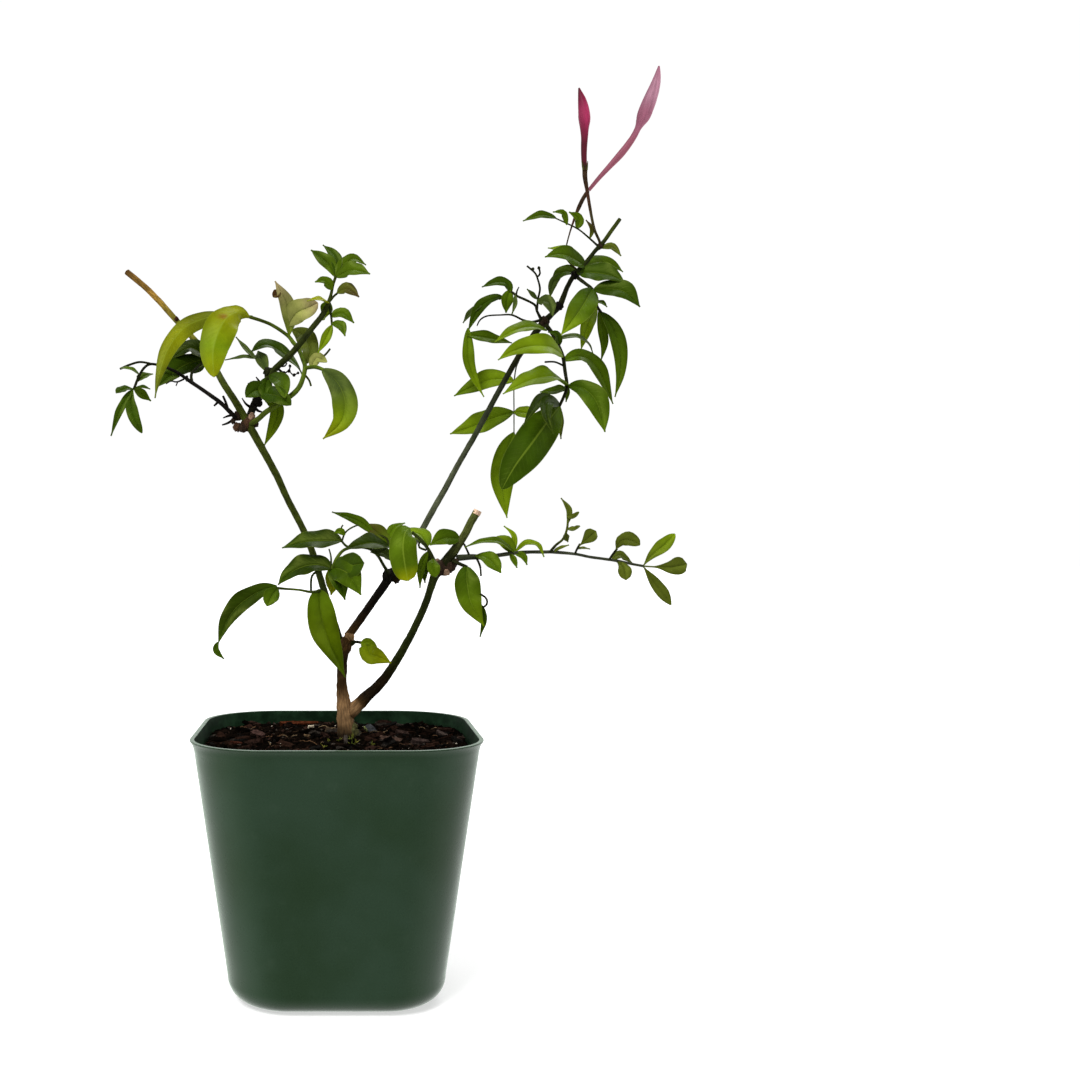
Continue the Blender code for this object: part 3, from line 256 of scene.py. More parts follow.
def tube(group, line, radii, sides, tints, rough=0.0, cap=None, slot=0, grain_size=1.0):
    """A round form along a line, with flat ends. cap is the tint of its far end."""
    lengths = lengths_of(line)
    ahead = (line[1] - line[0]).normalized()
    across = ahead.orthogonal().normalized()
    points, faces, colours, grains = [], [], [], []
    last = len(line) - 1
    for i, (point, radius) in enumerate(zip(line, radii)):
        step = (line[min(i + 1, last)] - line[max(i - 1, 0)]).normalized()
        across = (across - step * across.dot(step)).normalized()
        over = step.cross(across)
        for k in range(sides):
            turn = 2 * math.pi * k / sides
            way = across * math.cos(turn) + over * math.sin(turn)
            lump = noise.noise((point + way * radius) * 420.0) + 0.6 * noise.noise((point + way * radius) * 1100.0)
            points.append(point + way * radius * (1.0 + rough * lump))
            colours.append(tint_at(tints, i / last))
            grains.append((math.cos(turn) * grain_size, math.sin(turn) * grain_size, lengths[i] / MM))
    for i in range(last):
        for k in range(sides):
            n = (k + 1) % sides
            a, b = i * sides, (i + 1) * sides
            faces.append((a + k, a + n, b + n, b + k))
    for start, order, colour in ((0, -1, tint_at(tints, 0.0)), (last * sides, 1, cap or tint_at(tints, 1.0))):
        base = len(points)
        points += [points[start + k].copy() for k in range(sides)]
        grains += [grains[start + k] for k in range(sides)]
        colours += [colour] * sides
        faces.append(tuple(base + k for k in range(sides))[::order])
    return Form(group, points, faces, [slot] * len(faces), colours, grains)


def twig_line(route):
    """Even fine steps along a route of places with radii in millimetres: points and radii in metres."""
    line = smooth([at(*place[:3]) for place in route], 10)
    radii = smooth([place[3] * MM for place in route], 10)
    lengths = lengths_of(line)
    count = max(4, round(lengths[-1] / TWIG_STEP))
    points, sizes = [], []
    for k in range(count + 1):
        goal = lengths[-1] * k / count
        points.append(along(line, lengths, k / count)[0])
        sizes.append(float(np.interp(goal, lengths, radii)))
    return points, sizes


def stem(*route, tint=SHOOT, rough=TWIG_ROUGH, cap=None):
    """A tapering twig along places of the drawing, each with its radius in millimetres."""
    line, radii = twig_line(route)
    thick = max(radii) / MM
    sides = round(min(max(6 + 5 * thick, TWIG_SIDES[0]), TWIG_SIDES[1]))
    return tube("twigs", line, radii, sides, tint, rough, cap, grain_size=thick)


def lump(group, centre, radii, tint, rough, detail=3, turn=0.0):
    """An uneven rounded lump with its three radii."""
    shape = bmesh.new()
    bmesh.ops.create_icosphere(shape, subdivisions=detail, radius=1.0)
    spin = Matrix.Rotation(turn, 3, "Y")
    points = []
    for vert in shape.verts:
        way = vert.co.copy()
        size = 1.0 + rough * (noise.noise(way * 2.1 + centre * 900.0) + 0.5 * noise.noise(way * 5.0 + centre * 900.0))
        points.append(centre + spin @ Vector(way[k] * radii[k] * size for k in range(3)))
    faces = [tuple(vert.index for vert in face.verts) for face in shape.faces]
    shape.free()
    grains = [tuple(point / MM) for point in points]
    return Form(group, points, faces, [0] * len(faces), [tint] * len(points), grains)


def knot(place, radius, tint=KNOT_RED):
    """A lumpy swelling of wood, with its radius in millimetres."""
    size = radius * MM
    return lump("twigs", at(*place), (size, size, size * 1.1), tint, 0.35)


def leaf(*places, width, face, widest=0.42, base=0.8, tip=1.05, fold=14, sides=(1.0, 1.0), tint=MID, wave=0.11,
         stain=None):
    """A leaf blade along places of the drawing, with its width in millimetres and its fold in degrees.

    face is the way its upper side looks, widest the share of its length where it is broadest, base and
    tip how fast it narrows before and after that, and sides scales its left and right halves. stain is a
    spot on it: its share of the length and of the half width, its reach in millimetres and its tint. The
    grain holds the share of the half width across, the count of side veins passed and the share of the length.
    """
    line = smooth([at(*place) for place in places], 12)
    lengths = lengths_of(line)
    length = lengths[-1]
    rows = min(max(round(length / LEAF_STEP), LEAF_ROWS[0]), LEAF_ROWS[1])
    columns = np.array(SMALL_COLUMNS if width < SMALL_LEAF else COLUMNS)
    lift = math.radians(fold)
    beats = random.uniform(1.6, 2.8), random.uniform(1.6, 2.8)
    starts = random.uniform(0.0, 1.0), random.uniform(0.0, 1.0)
    shade = random.uniform(0.9, 1.1)
    middle = np.zeros((rows + 1, len(columns), 3))
    grain = np.zeros((rows + 1, len(columns), 3))
    colour = np.zeros((rows + 1, len(columns), 3))
    for i in range(rows + 1):
        t = i / rows
        point, ahead = along(line, lengths, t)
        normal = (face - ahead * face.dot(ahead)).normalized()
        across = ahead.cross(normal)
        half = max(width * MM * width_at(t, widest, base, tip), LEAF_END) / 2.0
        for j, v in enumerate(columns):
            side = 0 if v < 0.0 else 1
            edge = abs(v)
            ripple = math.sin(2 * math.pi * (beats[side] * t + starts[side]))
            reach = half * edge * sides[side] * (1.0 + 0.025 * edge * ripple)
            bulge = 0.16 * half * edge * (1.0 - edge) * math.copysign(1.0, fold)
            swing = wave * half * edge**2 * ripple * math.sin(math.pi * t)
            groove = GROOVE_DEPTH * math.exp(-((reach / GROOVE_WIDTH) ** 2)) * min(1.0, half / MM)
            rise = reach * math.sin(lift) + bulge + swing - groove
            middle[i, j] = point + across * math.copysign(reach * math.cos(lift), v) + normal * rise
            passed = (t * length - half * (0.7 * edge + 0.45 * edge * edge)) / VEIN_SPACING
            grain[i, j] = (v, passed, t)
            colour[i, j] = np.array(tint_at(tint, t)) * shade
            if stain:
                apart = math.hypot((t - stain[0]) * length, (v - stain[1]) * half)
                mark = max(0.0, 1.0 - apart / (stain[2] * MM)) ** 0.5
                colour[i, j] += (np.array(stain[3]) - colour[i, j]) * mark
    down = np.gradient(middle, axis=0)
    over = np.gradient(middle, axis=1)
    normals = np.cross(over, down)
    normals /= np.maximum(np.linalg.norm(normals, axis=2, keepdims=True), 1e-12)
    thick = (BLADE_MARGIN + (BLADE_MIDDLE - BLADE_MARGIN) * (1.0 - np.abs(columns) ** 2))[None, :, None] / 2.0
    upper = (middle + normals * thick).reshape(-1, 3)
    lower = (middle - normals * thick).reshape(-1, 3)
    count = len(columns)
    below = len(upper)
    faces, slots = [], []
    for i in range(rows):
        for j in range(count - 1):
            a, b = i * count + j, (i + 1) * count + j
            faces.append((a, a + 1, b + 1, b))
            faces.append((below + b, below + b + 1, below + a + 1, below + a))
            slots += [0, 1]
    border = (
        [j for j in range(count)]
        + [i * count + count - 1 for i in range(1, rows + 1)]
        + [rows * count + j for j in range(count - 2, -1, -1)]
        + [i * count for i in range(rows - 1, 0, -1)]
    )
    for a, b in zip(border, border[1:] + border[:1]):
        faces.append((a, below + a, below + b, b))
        slots.append(1)
    points = [Vector(point) for point in np.vstack((upper, lower))]
    grains = [tuple(g) for g in grain.reshape(-1, 3)] * 2
    tints = [tuple(c) for c in colour.reshape(-1, 3)] * 2
    blade = Form("leaves", points, faces, slots, tints, grains)
    centre = count // 2
    spine = [Vector(middle[i, centre] - normals[i, centre] * RIB_THICK * 0.35) for i in range(rows + 1)]
    size = min(1.0, 0.45 + width / 12.0)
    radii = [(RIB_THICK + (RIB_THIN - RIB_THICK) * i / rows) * size for i in range(rows + 1)]
    rib_tint = tuple(0.65 * c + 0.35 * p for c, p in zip(tint_at(tint, 0.4), VEIN))
    rib = tube("leaves", spine, radii, RIB_SIDES, rib_tint, slot=2)
    return [blade, rib]


def furled(*route, tint):
    """A closed bud along places of the drawing: overlapping petals twisted round a slim tube, with painted shade under
    each petal's edge and painted light on its side towards +x.
    """
    line = smooth([at(*place[:3]) for place in route], 10)
    sizes = smooth([place[3] * MM for place in route], 10)
    lengths = lengths_of(line)
    count = round(lengths[-1] / BUD_STEP)
    across = (line[1] - line[0]).orthogonal().normalized()
    points, faces, colours, grains = [], [], [], []
    for i in range(count + 1):
        t = i / count
        point, ahead = along(line, lengths, t)
        across = (across - ahead * across.dot(ahead)).normalized()
        over = ahead.cross(across)
        radius = float(np.interp(t * lengths[-1], lengths, sizes))
        deep = SEAM_DEPTH * min(1.0, max(0.0, (t - 0.3) * 3.0))
        for k in range(BUD_SIDES):
            turn = 2 * math.pi * k / BUD_SIDES
            seam = ((turn + SEAM_TWIST * t) * PETAL_COUNT / (2 * math.pi)) % 1.0
            step = 1.0 - deep * (1.0 - seam) ** 3 + 0.3 * deep * seam
            # Painted shade: the tint darkens just past each seam, under the edge of the overlapping petal.
            seam_shade = 1.0 - 0.15 * min(1.0, 6.0 * deep) * max(0.0, 1.0 - 5.0 * seam)
            way = across * math.cos(turn) + over * math.sin(turn)
            points.append(point + way * radius * step)
            # Painted light: lighter on the side towards +x and darker on the other, as if lit from there.
            shade = seam_shade * (1.0 + PAINTED_LIGHT_SIDE * way.x)
            colours.append(tuple(part * shade for part in tint_at(tint, t)))
            grains.append((math.cos(turn + SEAM_TWIST * t), math.sin(turn + SEAM_TWIST * t), t * lengths[-1] / MM))
    for i in range(count):
        for k in range(BUD_SIDES):
            n = (k + 1) % BUD_SIDES
            a, b = i * BUD_SIDES, (i + 1) * BUD_SIDES
            faces.append((a + k, a + n, b + n, b + k))
    faces.append(tuple(reversed(range(BUD_SIDES))))
    faces.append(tuple(count * BUD_SIDES + k for k in range(BUD_SIDES)))
    return Form("petals", points, faces, [0] * len(faces), colours, grains)


def trunk():
    """Brown woody base: it stands in the soil, forks low down and has a swollen joint above."""
    return [
        stem(
            (*TRUNK_FOOT, 3.3), (346, 760, 4, 3.4), (346.5, 738, 4, 3.4), (345.5, 720, 4, 3.0), (344, 704, 4, 2.6),
            (342, 690, 3, 2.0), (342, 672, 2, 1.8), (343, 657, 2, 1.8), (345, 645, 2, 2.2), (347, 638, 2, 1.7),
            tint=(BARK_DARK, BARK_DARK, BARK_DARK, BARK_DARK, BARK_PALE, BARK, BARK_DARK, BARK), rough=0.13,
        ),
        stem((344.5, 724, 4, 1.5), (348, 716, 4, 2.2), (354, 708.5, 4, 2.4), (361, 702, 4, 2.25), (368, 695, 3, 2.05),
             tint=(BARK_DARK, BARK, BARK_PALE, BARK, BARK_DARK), rough=0.12),
        stem((346, 645, 2, 1.5), (351, 643, 2, 1.2), (354, 642, 1, 0.8), tint=(BARK, STEM_GREEN)),
        stem((344, 652, 3, 1.6), (342, 645, 4, 1.6), (340, 640, 4, 1.5), tint=(BARK_DARK, BARK)),
        knot((345, 647, 2), 2.3, BARK),
        knot((347, 641, 2), 2.0, BARK),
        knot((350, 636, 1), 1.6, BARK_PALE),
        knot((353, 733, 3), 1.9, MOSS_WOOD),
        knot((354, 727, 3), 1.3, MOSS_WOOD),
    ]


def right_arm():
    """Dark green arm from the fork to a knot, and its short stub with a pale cut end."""
    return [
        stem(
            (368, 695, 3, 2.0), (376, 688, 2, 1.85), (387, 675, 0, 1.65), (401, 653, -4, 1.45), (414, 629, -9, 1.3),
            (425, 605, -14, 1.25), (431, 587, -18, 1.3), (436, 574, -20, 1.6), (446, 562, -22, 1.9),
            (456, 548, -23, 1.5), (465, 534, -24, 1.35), (471, 522, -25, 1.3), (477, 512, -26, 1.35),
            tint=(BARK_DARK, BARK_DARK, STEM_GREEN, STEM_GREEN, STEM_GREEN, STEM_GREEN, STEM_GREEN, TWIG_DARK,
                  STUB_GREEN, STUB_GREEN), cap=CUT_WOOD,
        ),
        stem((476, 514.5, -26, 1.36), (478, 510.5, -26, 1.36), tint=CUT_WOOD, cap=CUT_WOOD),
        knot((440, 568, -22), 2.6, KNOT_DARK),
        knot((450, 566, -22), 2.0, KNOT_DARK),
        knot((446, 572, -23), 1.2, KNOT_PALE),
        knot((436, 562, -23), 1.0, KNOT_PALE),
        knot((456, 562, -24), 1.0, KNOT_DARK),
    ]


def left_stem():
    """Olive stem from the trunk's joint to a brown knot, and on to its dry cut tip."""
    return [
        stem(
            (342, 648, 4, 1.35), (339, 638, 4, 1.35), (332, 616, 5, 1.3), (324, 590, 5, 1.25), (318, 570, 4, 1.25), (312, 551, 3, 1.2),
            (303, 529, 1, 1.2), (288, 500, -3, 1.2), (277, 476, -7, 1.25), (264, 452, -11, 1.3), (254, 434, -14, 1.4),
            (246, 420, -14, 1.4), (235, 401, -12, 1.25), (224, 384, -9, 1.2), (215, 368, -4, 1.15),
            (205, 352, 2, 1.1), (193, 338, 6, 1.05), (176, 320, 10, 1.05), (160, 302, 13, 1.1), (145, 287, 15, 1.1),
            (127, 272, 17, 1.15),
            tint=(TWIG_DARK, STEM_GREEN, STEM_GREEN, STEM_OLIVE, STEM_OLIVE, STEM_OLIVE, STEM_OLIVE, STEM_OLIVE,
                  STEM_OLIVE, DRY_GREEN, DRY_GREEN, DRY, DRY_TIP), cap=CUT_DARK,
        ),
        knot((248, 424, -14), 2.2),
        knot((243, 428, -15), 1.5, KNOT_DARK),
        knot((237, 427, -14), 1.4),
        knot((238, 416, -13), 1.5, KNOT_DARK),
        knot((252, 417, -15), 1.3, KNOT_PALE),
        knot((255, 424, -14), 1.2, KNOT_DARK),
        knot((233, 421, -14), 0.9, KNOT_DARK),
        knot((176.5, 319, 8.8), 0.75, BROWN),
    ]


def right_stem():
    """Long stem from the trunk's joint: black to its first knot, then dark grey-green up to the second."""
    return [
        stem(
            (348, 636, 2, 1.5), (357, 624, 0, 1.5), (371, 604, -3, 1.45), (381, 590, -5, 1.5), (390, 577, -6, 1.55),
            (399, 566, -5, 1.2), (411, 548, -2, 1.1), (422, 530, 2, 1.1), (433, 510, 6, 1.1), (445, 489, 10, 1.1),
            (459, 463, 14, 1.05), (474, 437, 17, 1.05), (486, 415, 19, 1.05), (494, 400, 20, 1.05), (504, 382, 20, 1.05),
            (517, 359, 19, 1.05), (530, 340, 18, 1.1), (543, 323, 17, 1.3), (552, 314, 16, 1.0), (560, 305, 15, 1.1),
            (566, 290, 14, 0.9), (571, 280, 13, 0.9), (573.5, 276.5, 13, 0.9),
            tint=(BARK, BARK_DARK, BLACK, BLACK) + (STEM_GREY,) * 5 + (STEM_SHADE,) * 3 + (TWIG_DARK,) * 5,
        ),
        knot((389, 576, -6), 2.3, BLACK),
        knot((396, 579, -6), 1.4, BARK_DARK),
        knot((544, 322, 17), 2.0, KNOT_DARK),
        knot((559, 306, 15), 1.5, BLACK),
    ]


def trunk_leaf():
    """One small curled leaf on a thin stalk from the trunk's joint."""
    return [
        stem((354, 642, 1, 0.5), (358, 642, -1, 0.5), (362, 643, -3, 0.5), tint=TWIG_DARK),
        leaf((361, 642, -3), (367, 645, -5), (370, 654, -7), (379, 657, -8), (391, 663, -7), width=7.0, face=TOWARD,
             widest=0.42, fold=8, tint=(LIME, YELLOW)),
        leaf((363, 643, -4), (369, 642, -5), (374, 648, -6), width=2.6, face=TOWARD, tint=LIME),
    ]


def left_low_spray():
    """Low shoot on the left stem's knot: a black twig, dark leaflets and a palmate end."""
    return [
        stem(
            (236, 418, -14, 0.8), (222, 404, -15, 0.75), (210, 395, -15, 0.7), (200, 388, -14, 0.65),
            (191, 382, -13, 0.65), (178, 373, -11, 0.55), (165, 367, -11, 0.5), (152, 364, -12, 0.45),
            (145, 367, -13, 0.45), (139, 376, -14, 0.45), (134, 389, -15, 0.5), tint=(BLACK, BLACK, TWIG_DARK),
        ),
        stem((192, 382, -13, 0.55), (192, 373, -11, 0.5), (203, 362, -5, 0.5), (207, 359, -4, 0.5), tint=TWIG_DARK),
        stem((228, 410, -14, 0.5), (226, 403, -15, 0.45), (223, 396, -16, 0.4), tint=BLACK),
        stem((187, 381, -13, 0.45), (187, 376, -12, 0.4), tint=BLACK),
        stem((152, 364, -12, 0.4), (140, 362, -14, 0.4), (129, 365, -15, 0.4), (120, 369, -16, 0.4), tint=TWIG_DARK),
        stem((184, 379, -13, 0.35), (177, 382, -13, 0.3), (171, 381, -13, 0.25), (166, 384, -13, 0.2), tint=BLACK),
        stem((178, 381, -13, 0.28), (176, 386, -13, 0.2), tint=BLACK),
        stem((234, 419, -14, 0.5), (228, 423, -14, 0.4), (222, 425, -14, 0.25), tint=BLACK),
        stem((233, 415, -14, 0.5), (228, 416, -14, 0.4), (223, 418, -14, 0.2), tint=BLACK),
        stem((218, 402, -15, 0.5), (214, 406, -15, 0.3), tint=BLACK),
        leaf((134, 389, -15), (125, 389, -16), (116, 393, -18), width=3.8, face=UPWARD, widest=0.6, tip=0.5, tint=DARK),
        leaf((133, 389, -15), (126, 399, -17), (118, 415, -19), (111, 436, -20), width=2.9, face=TOWARD, tint=DARK),
        leaf((133, 389, -15), (131, 401, -17), (134, 417, -20), (142, 433, -21), width=4.2, face=TOWARD,
             widest=0.55, tip=0.6, tint=DARK),
        leaf((134, 389, -15), (142, 394, -12), (151, 401, -10), width=3.4, face=TOWARD, tint=MID),
        leaf((134, 389, -15), (142, 387, -16), (150, 389, -18), width=2.0, face=UPWARD, tint=DARK),
        leaf((138, 381, -14), (144, 376, -12), (153, 374, -10), width=3.8, face=UPWARD, tint=MID),
        leaf((139, 374, -14), (131, 369, -16), (121, 368, -18), width=2.4, face=UPWARD, tint=MID),
        leaf((207, 358, -4), (190, 348, -5), (171, 359, -7), width=8.5, face=UPWARD, tint=DEEP),
        leaf((207, 360, -4), (183, 366, -7), (157, 387, -12), width=8.5, face=LIFTED, tint=(DEEP, DARK)),
        leaf((206, 361, -4), (198, 368, -2), (186, 371, 0), width=5.0, face=LIFTED, tint=DARK),
    ]


def left_yellow_spray():
    """Curved green shoot on the left stem's knot, with two yellow leaves, a twisted and a hanging one."""
    return [
        stem(
            (250, 424, -15, 0.9), (257, 420, -17, 0.95), (266, 412, -18, 0.95), (277, 405, -19, 0.9), (288, 398, -20, 0.9),
            (297, 390, -20, 0.9), (302, 381, -19, 0.85), (305, 368, -17, 0.8), (303, 360, -15, 0.75),
            (299, 350, -12, 0.75), (293, 342, -10, 0.75), (287, 335, -10, 0.65), (270, 324, -12, 0.6),
            (250, 317, -14, 0.6), tint=(STEM_OLIVE, SHOOT_GREEN, SHOOT_GREEN, SHOOT_GREEN, STEM_OLIVE),
        ),
        stem((305, 368, -17, 0.7), (315, 367, -18, 0.7), (324, 370, -19, 0.6), tint=SHOOT_GREEN),
        leaf((322, 369, -19), (337, 382, -22), (345, 402, -25), (341, 422, -27), (323, 439, -28), width=8.8,
             face=TOWARD, widest=0.5, base=0.6, fold=10, tint=(GREY, GREY, LIME, YELLOW)),
        leaf((250, 317, -14), (238, 312, -18), (224, 321, -23), (213.5, 348, -27), (214, 377, -29), width=11.4,
             face=TOWARD, widest=0.5, tip=0.6, fold=-12, tint=(YELLOW, YELLOW, LIME, YELLOW),
             stain=(0.34, 0.25, 1.7, STAIN)),
        stem((252, 317, -14, 0.55), (238, 316, -11, 0.5), (221, 314, -8, 0.5), tint=SHOOT_GREEN),
        leaf((222, 314, -8), (203, 319, -9), (184, 328, -13), (168, 349, -18), (159, 375, -22), (155, 398, -24),
             width=6.9, face=TOWARD, widest=0.35, fold=-12, tint=(OLIVE, YELLOW, OLIVE)),
        leaf((289, 336, -10), (290, 320, -12), (287, 304, -14), (281, 292, -16), (275, 281, -17), width=5.6,
             face=TOWARD, widest=0.5, tint=(LIME, PALE, CREAM)),
        leaf((288, 326, -11), (297, 313, -14), (308, 308, -15), (318, 303, -15), width=8.4, face=TOWARD,
             widest=0.5, tip=0.5, tint=(PALE, PALE, CREAM)),
        leaf((280, 291, -16), (273, 297, -16), width=3.2, face=TOWARD, tip=0.5, tint=BROWN),
        leaf((304, 366, -16), (310, 351, -12), (304, 336, -8), (292, 330, -5), width=7.2, face=TOWARD,
             widest=0.55, tip=0.7, tint=OLIVE),
        leaf((311, 368, -17), (317, 358, -17), (327, 362, -18), width=4.0, face=TOWARD, tip=0.6, tint=PALE),
        stem((318, 360, -17, 0.4), (325, 355, -17, 0.35), (330, 349, -16, 0.35), tint=STEM_OLIVE),
        leaf((303, 376, -18), (298, 367, -13), (289, 358, -7), (277, 349, -5), (264, 345, -7), (251, 352, -9),
             width=6.0, face=UPWARD, widest=0.72, tint=DARK),
        stem((304, 374, -18, 0.4), (309, 380, -17, 0.35), (311, 386, -17, 0.35), tint=STEM_OLIVE),
    ]


def left_upper_spray():
    """Dark shoot on the left stem's knot, with small leaves at its foot and pairs of leaflets to its tip."""
    return [
        stem(
            (250, 416, -12, 1.3), (254, 405, -11, 1.3), (259, 396, -11, 1.2), (263, 390, -11, 1.0),
            (268, 378, -12, 1.2), (277, 367, -13, 1.15), (288, 357, -16, 1.1), (298, 346, -19, 1.05),
            (313, 327, -19, 1.0), (323, 314, -18, 0.9), (330, 298, -16, 0.6), (333, 285, -15, 0.5),
            (336, 276, -15, 0.5), tint=(BLACK, STEM_GREEN, STEM_GREEN, STEM_GREEN, STEM_OLIVE),
        ),
        knot((257, 402, -11), 1.8, BLACK),
        knot((268, 372, -12), 1.6, TWIG_DARK),
        stem((277, 368, -13, 0.5), (284, 373, -14, 0.35), (289, 371, -14, 0.25), (293, 375, -14, 0.25),
             (298, 373, -15, 0.2), tint=BLACK),
        stem((281, 366, -14, 0.4), (285, 366, -14, 0.3), (287, 363, -14, 0.2), tint=BLACK),
        stem((289, 372, -14, 0.3), (290, 367, -14, 0.25), tint=BLACK),
        knot((284, 373, -14), 0.6, BLACK),
        knot((289, 371, -14), 0.55, BLACK),
        knot((294, 375, -14), 0.55, BLACK),
        knot((298, 373, -15), 0.45, BLACK),
        knot((290, 366, -14), 0.5, BLACK),
        stem((262, 385, -11, 0.6), (259, 381, -11, 0.4), (256, 377, -11, 0.2), tint=BLACK),
        stem((258, 392, -11, 0.6), (252, 388, -11, 0.4), (248, 383, -11, 0.2), tint=TWIG_DARK),
        stem((252, 408, -12, 0.6), (246, 404, -12, 0.4), (242, 398, -12, 0.2), tint=BLACK),
        stem((252, 404, -12, 0.6), (257, 410, -14, 0.5), (262, 412, -16, 0.3), tint=BLACK),
        leaf((268, 394, -12), (257, 390, -16), (246, 397, -20), width=6.6, face=TOWARD, widest=0.5, tip=0.6,
             tint=DARK),
        leaf((269, 376, -13), (281, 381, -20), (285, 398, -26), width=6.0, face=TOWARD, widest=0.5, tip=0.7,
             tint=(DARK, MID)),
        leaf((263, 391, -11), (270, 394, -19), (280, 397, -24), (291, 405, -26), width=6.8, face=TOWARD,
             widest=0.55, tip=0.5, tint=DARK),
        leaf((268, 378, -12), (265, 388, -15), (266, 402, -18), width=5.0, face=TOWARD, tint=DARK),
        leaf((262, 394, -11), (277, 408, -11), (273, 427, -10), (264, 446, -9), width=5.0, face=TOWARD,
             tint=(MID, LIME)),
        leaf((268, 374, -11), (263, 362, -8), (258, 351, -5), width=4.6, face=TOWARD, widest=0.6, tint=GREY),
        leaf((262, 359, -7), (245, 357, -3), (225, 360, 0), width=2.6, face=UPWARD, tint=GREY),
        leaf((256, 359, -6), (247, 350, -3), (236, 337, 0), width=2.2, face=UPWARD, tint=GREY),
        leaf((336, 278, -15), (329, 264, -13), (311, 250, -10), width=5.0, face=TOWARD, widest=0.5,
             tint=(MID, DARK)),
        leaf((336, 276, -15), (336, 258, -12), (323, 245, -8), width=4.2, face=TOWARD, tint=DARK),
        leaf((336, 277, -15), (352, 270, -18), (370, 274, -21), width=6.4, face=LIFTED, widest=0.45, tint=MID),
        leaf((336, 275, -15), (352, 259, -12), (366, 265, -9), width=5.0, face=LIFTED, tint=MID),
        leaf((332, 290, -16), (325, 281, -17), (315, 282, -18), width=4.0, face=LIFTED, tint=MID),
        stem((330, 301, -16, 0.45), (334, 296, -16, 0.4), (339, 292, -17, 0.4), tint=STEM_GREEN),
        leaf((337, 293, -17), (347, 289, -18), (359, 297, -20), width=4.8, face=LIFTED, tint=(OLIVE, BROWN)),
        stem((329, 303, -16, 0.45), (331, 315, -17, 0.4), (332, 325, -18, 0.4), tint=STEM_GREEN),
        leaf((330, 302, -16), (327, 308, -15), (324, 316, -14), width=4.6, face=TOWARD, tip=0.6, tint=MID),
        leaf((330, 313, -16), (325, 316, -14), (317, 320, -12), width=4.0, face=LIFTED, tint=LIME),
        leaf((329, 303, -17), (319, 299, -20), (307, 301, -22), width=3.0, face=UPWARD, tint=YELLOW),
        leaf((332, 325, -18), (325, 340, -19), (318, 353, -19), width=3.4, face=TOWARD, tint=LIME),
        leaf((332, 323, -18), (341, 326, -20), (345, 336, -22), width=3.8, face=LIFTED, tint=MID),
        leaf((331, 317, -17), (342, 313, -17), (354, 323, -18), width=4.2, face=LIFTED, tint=MID),
    ]


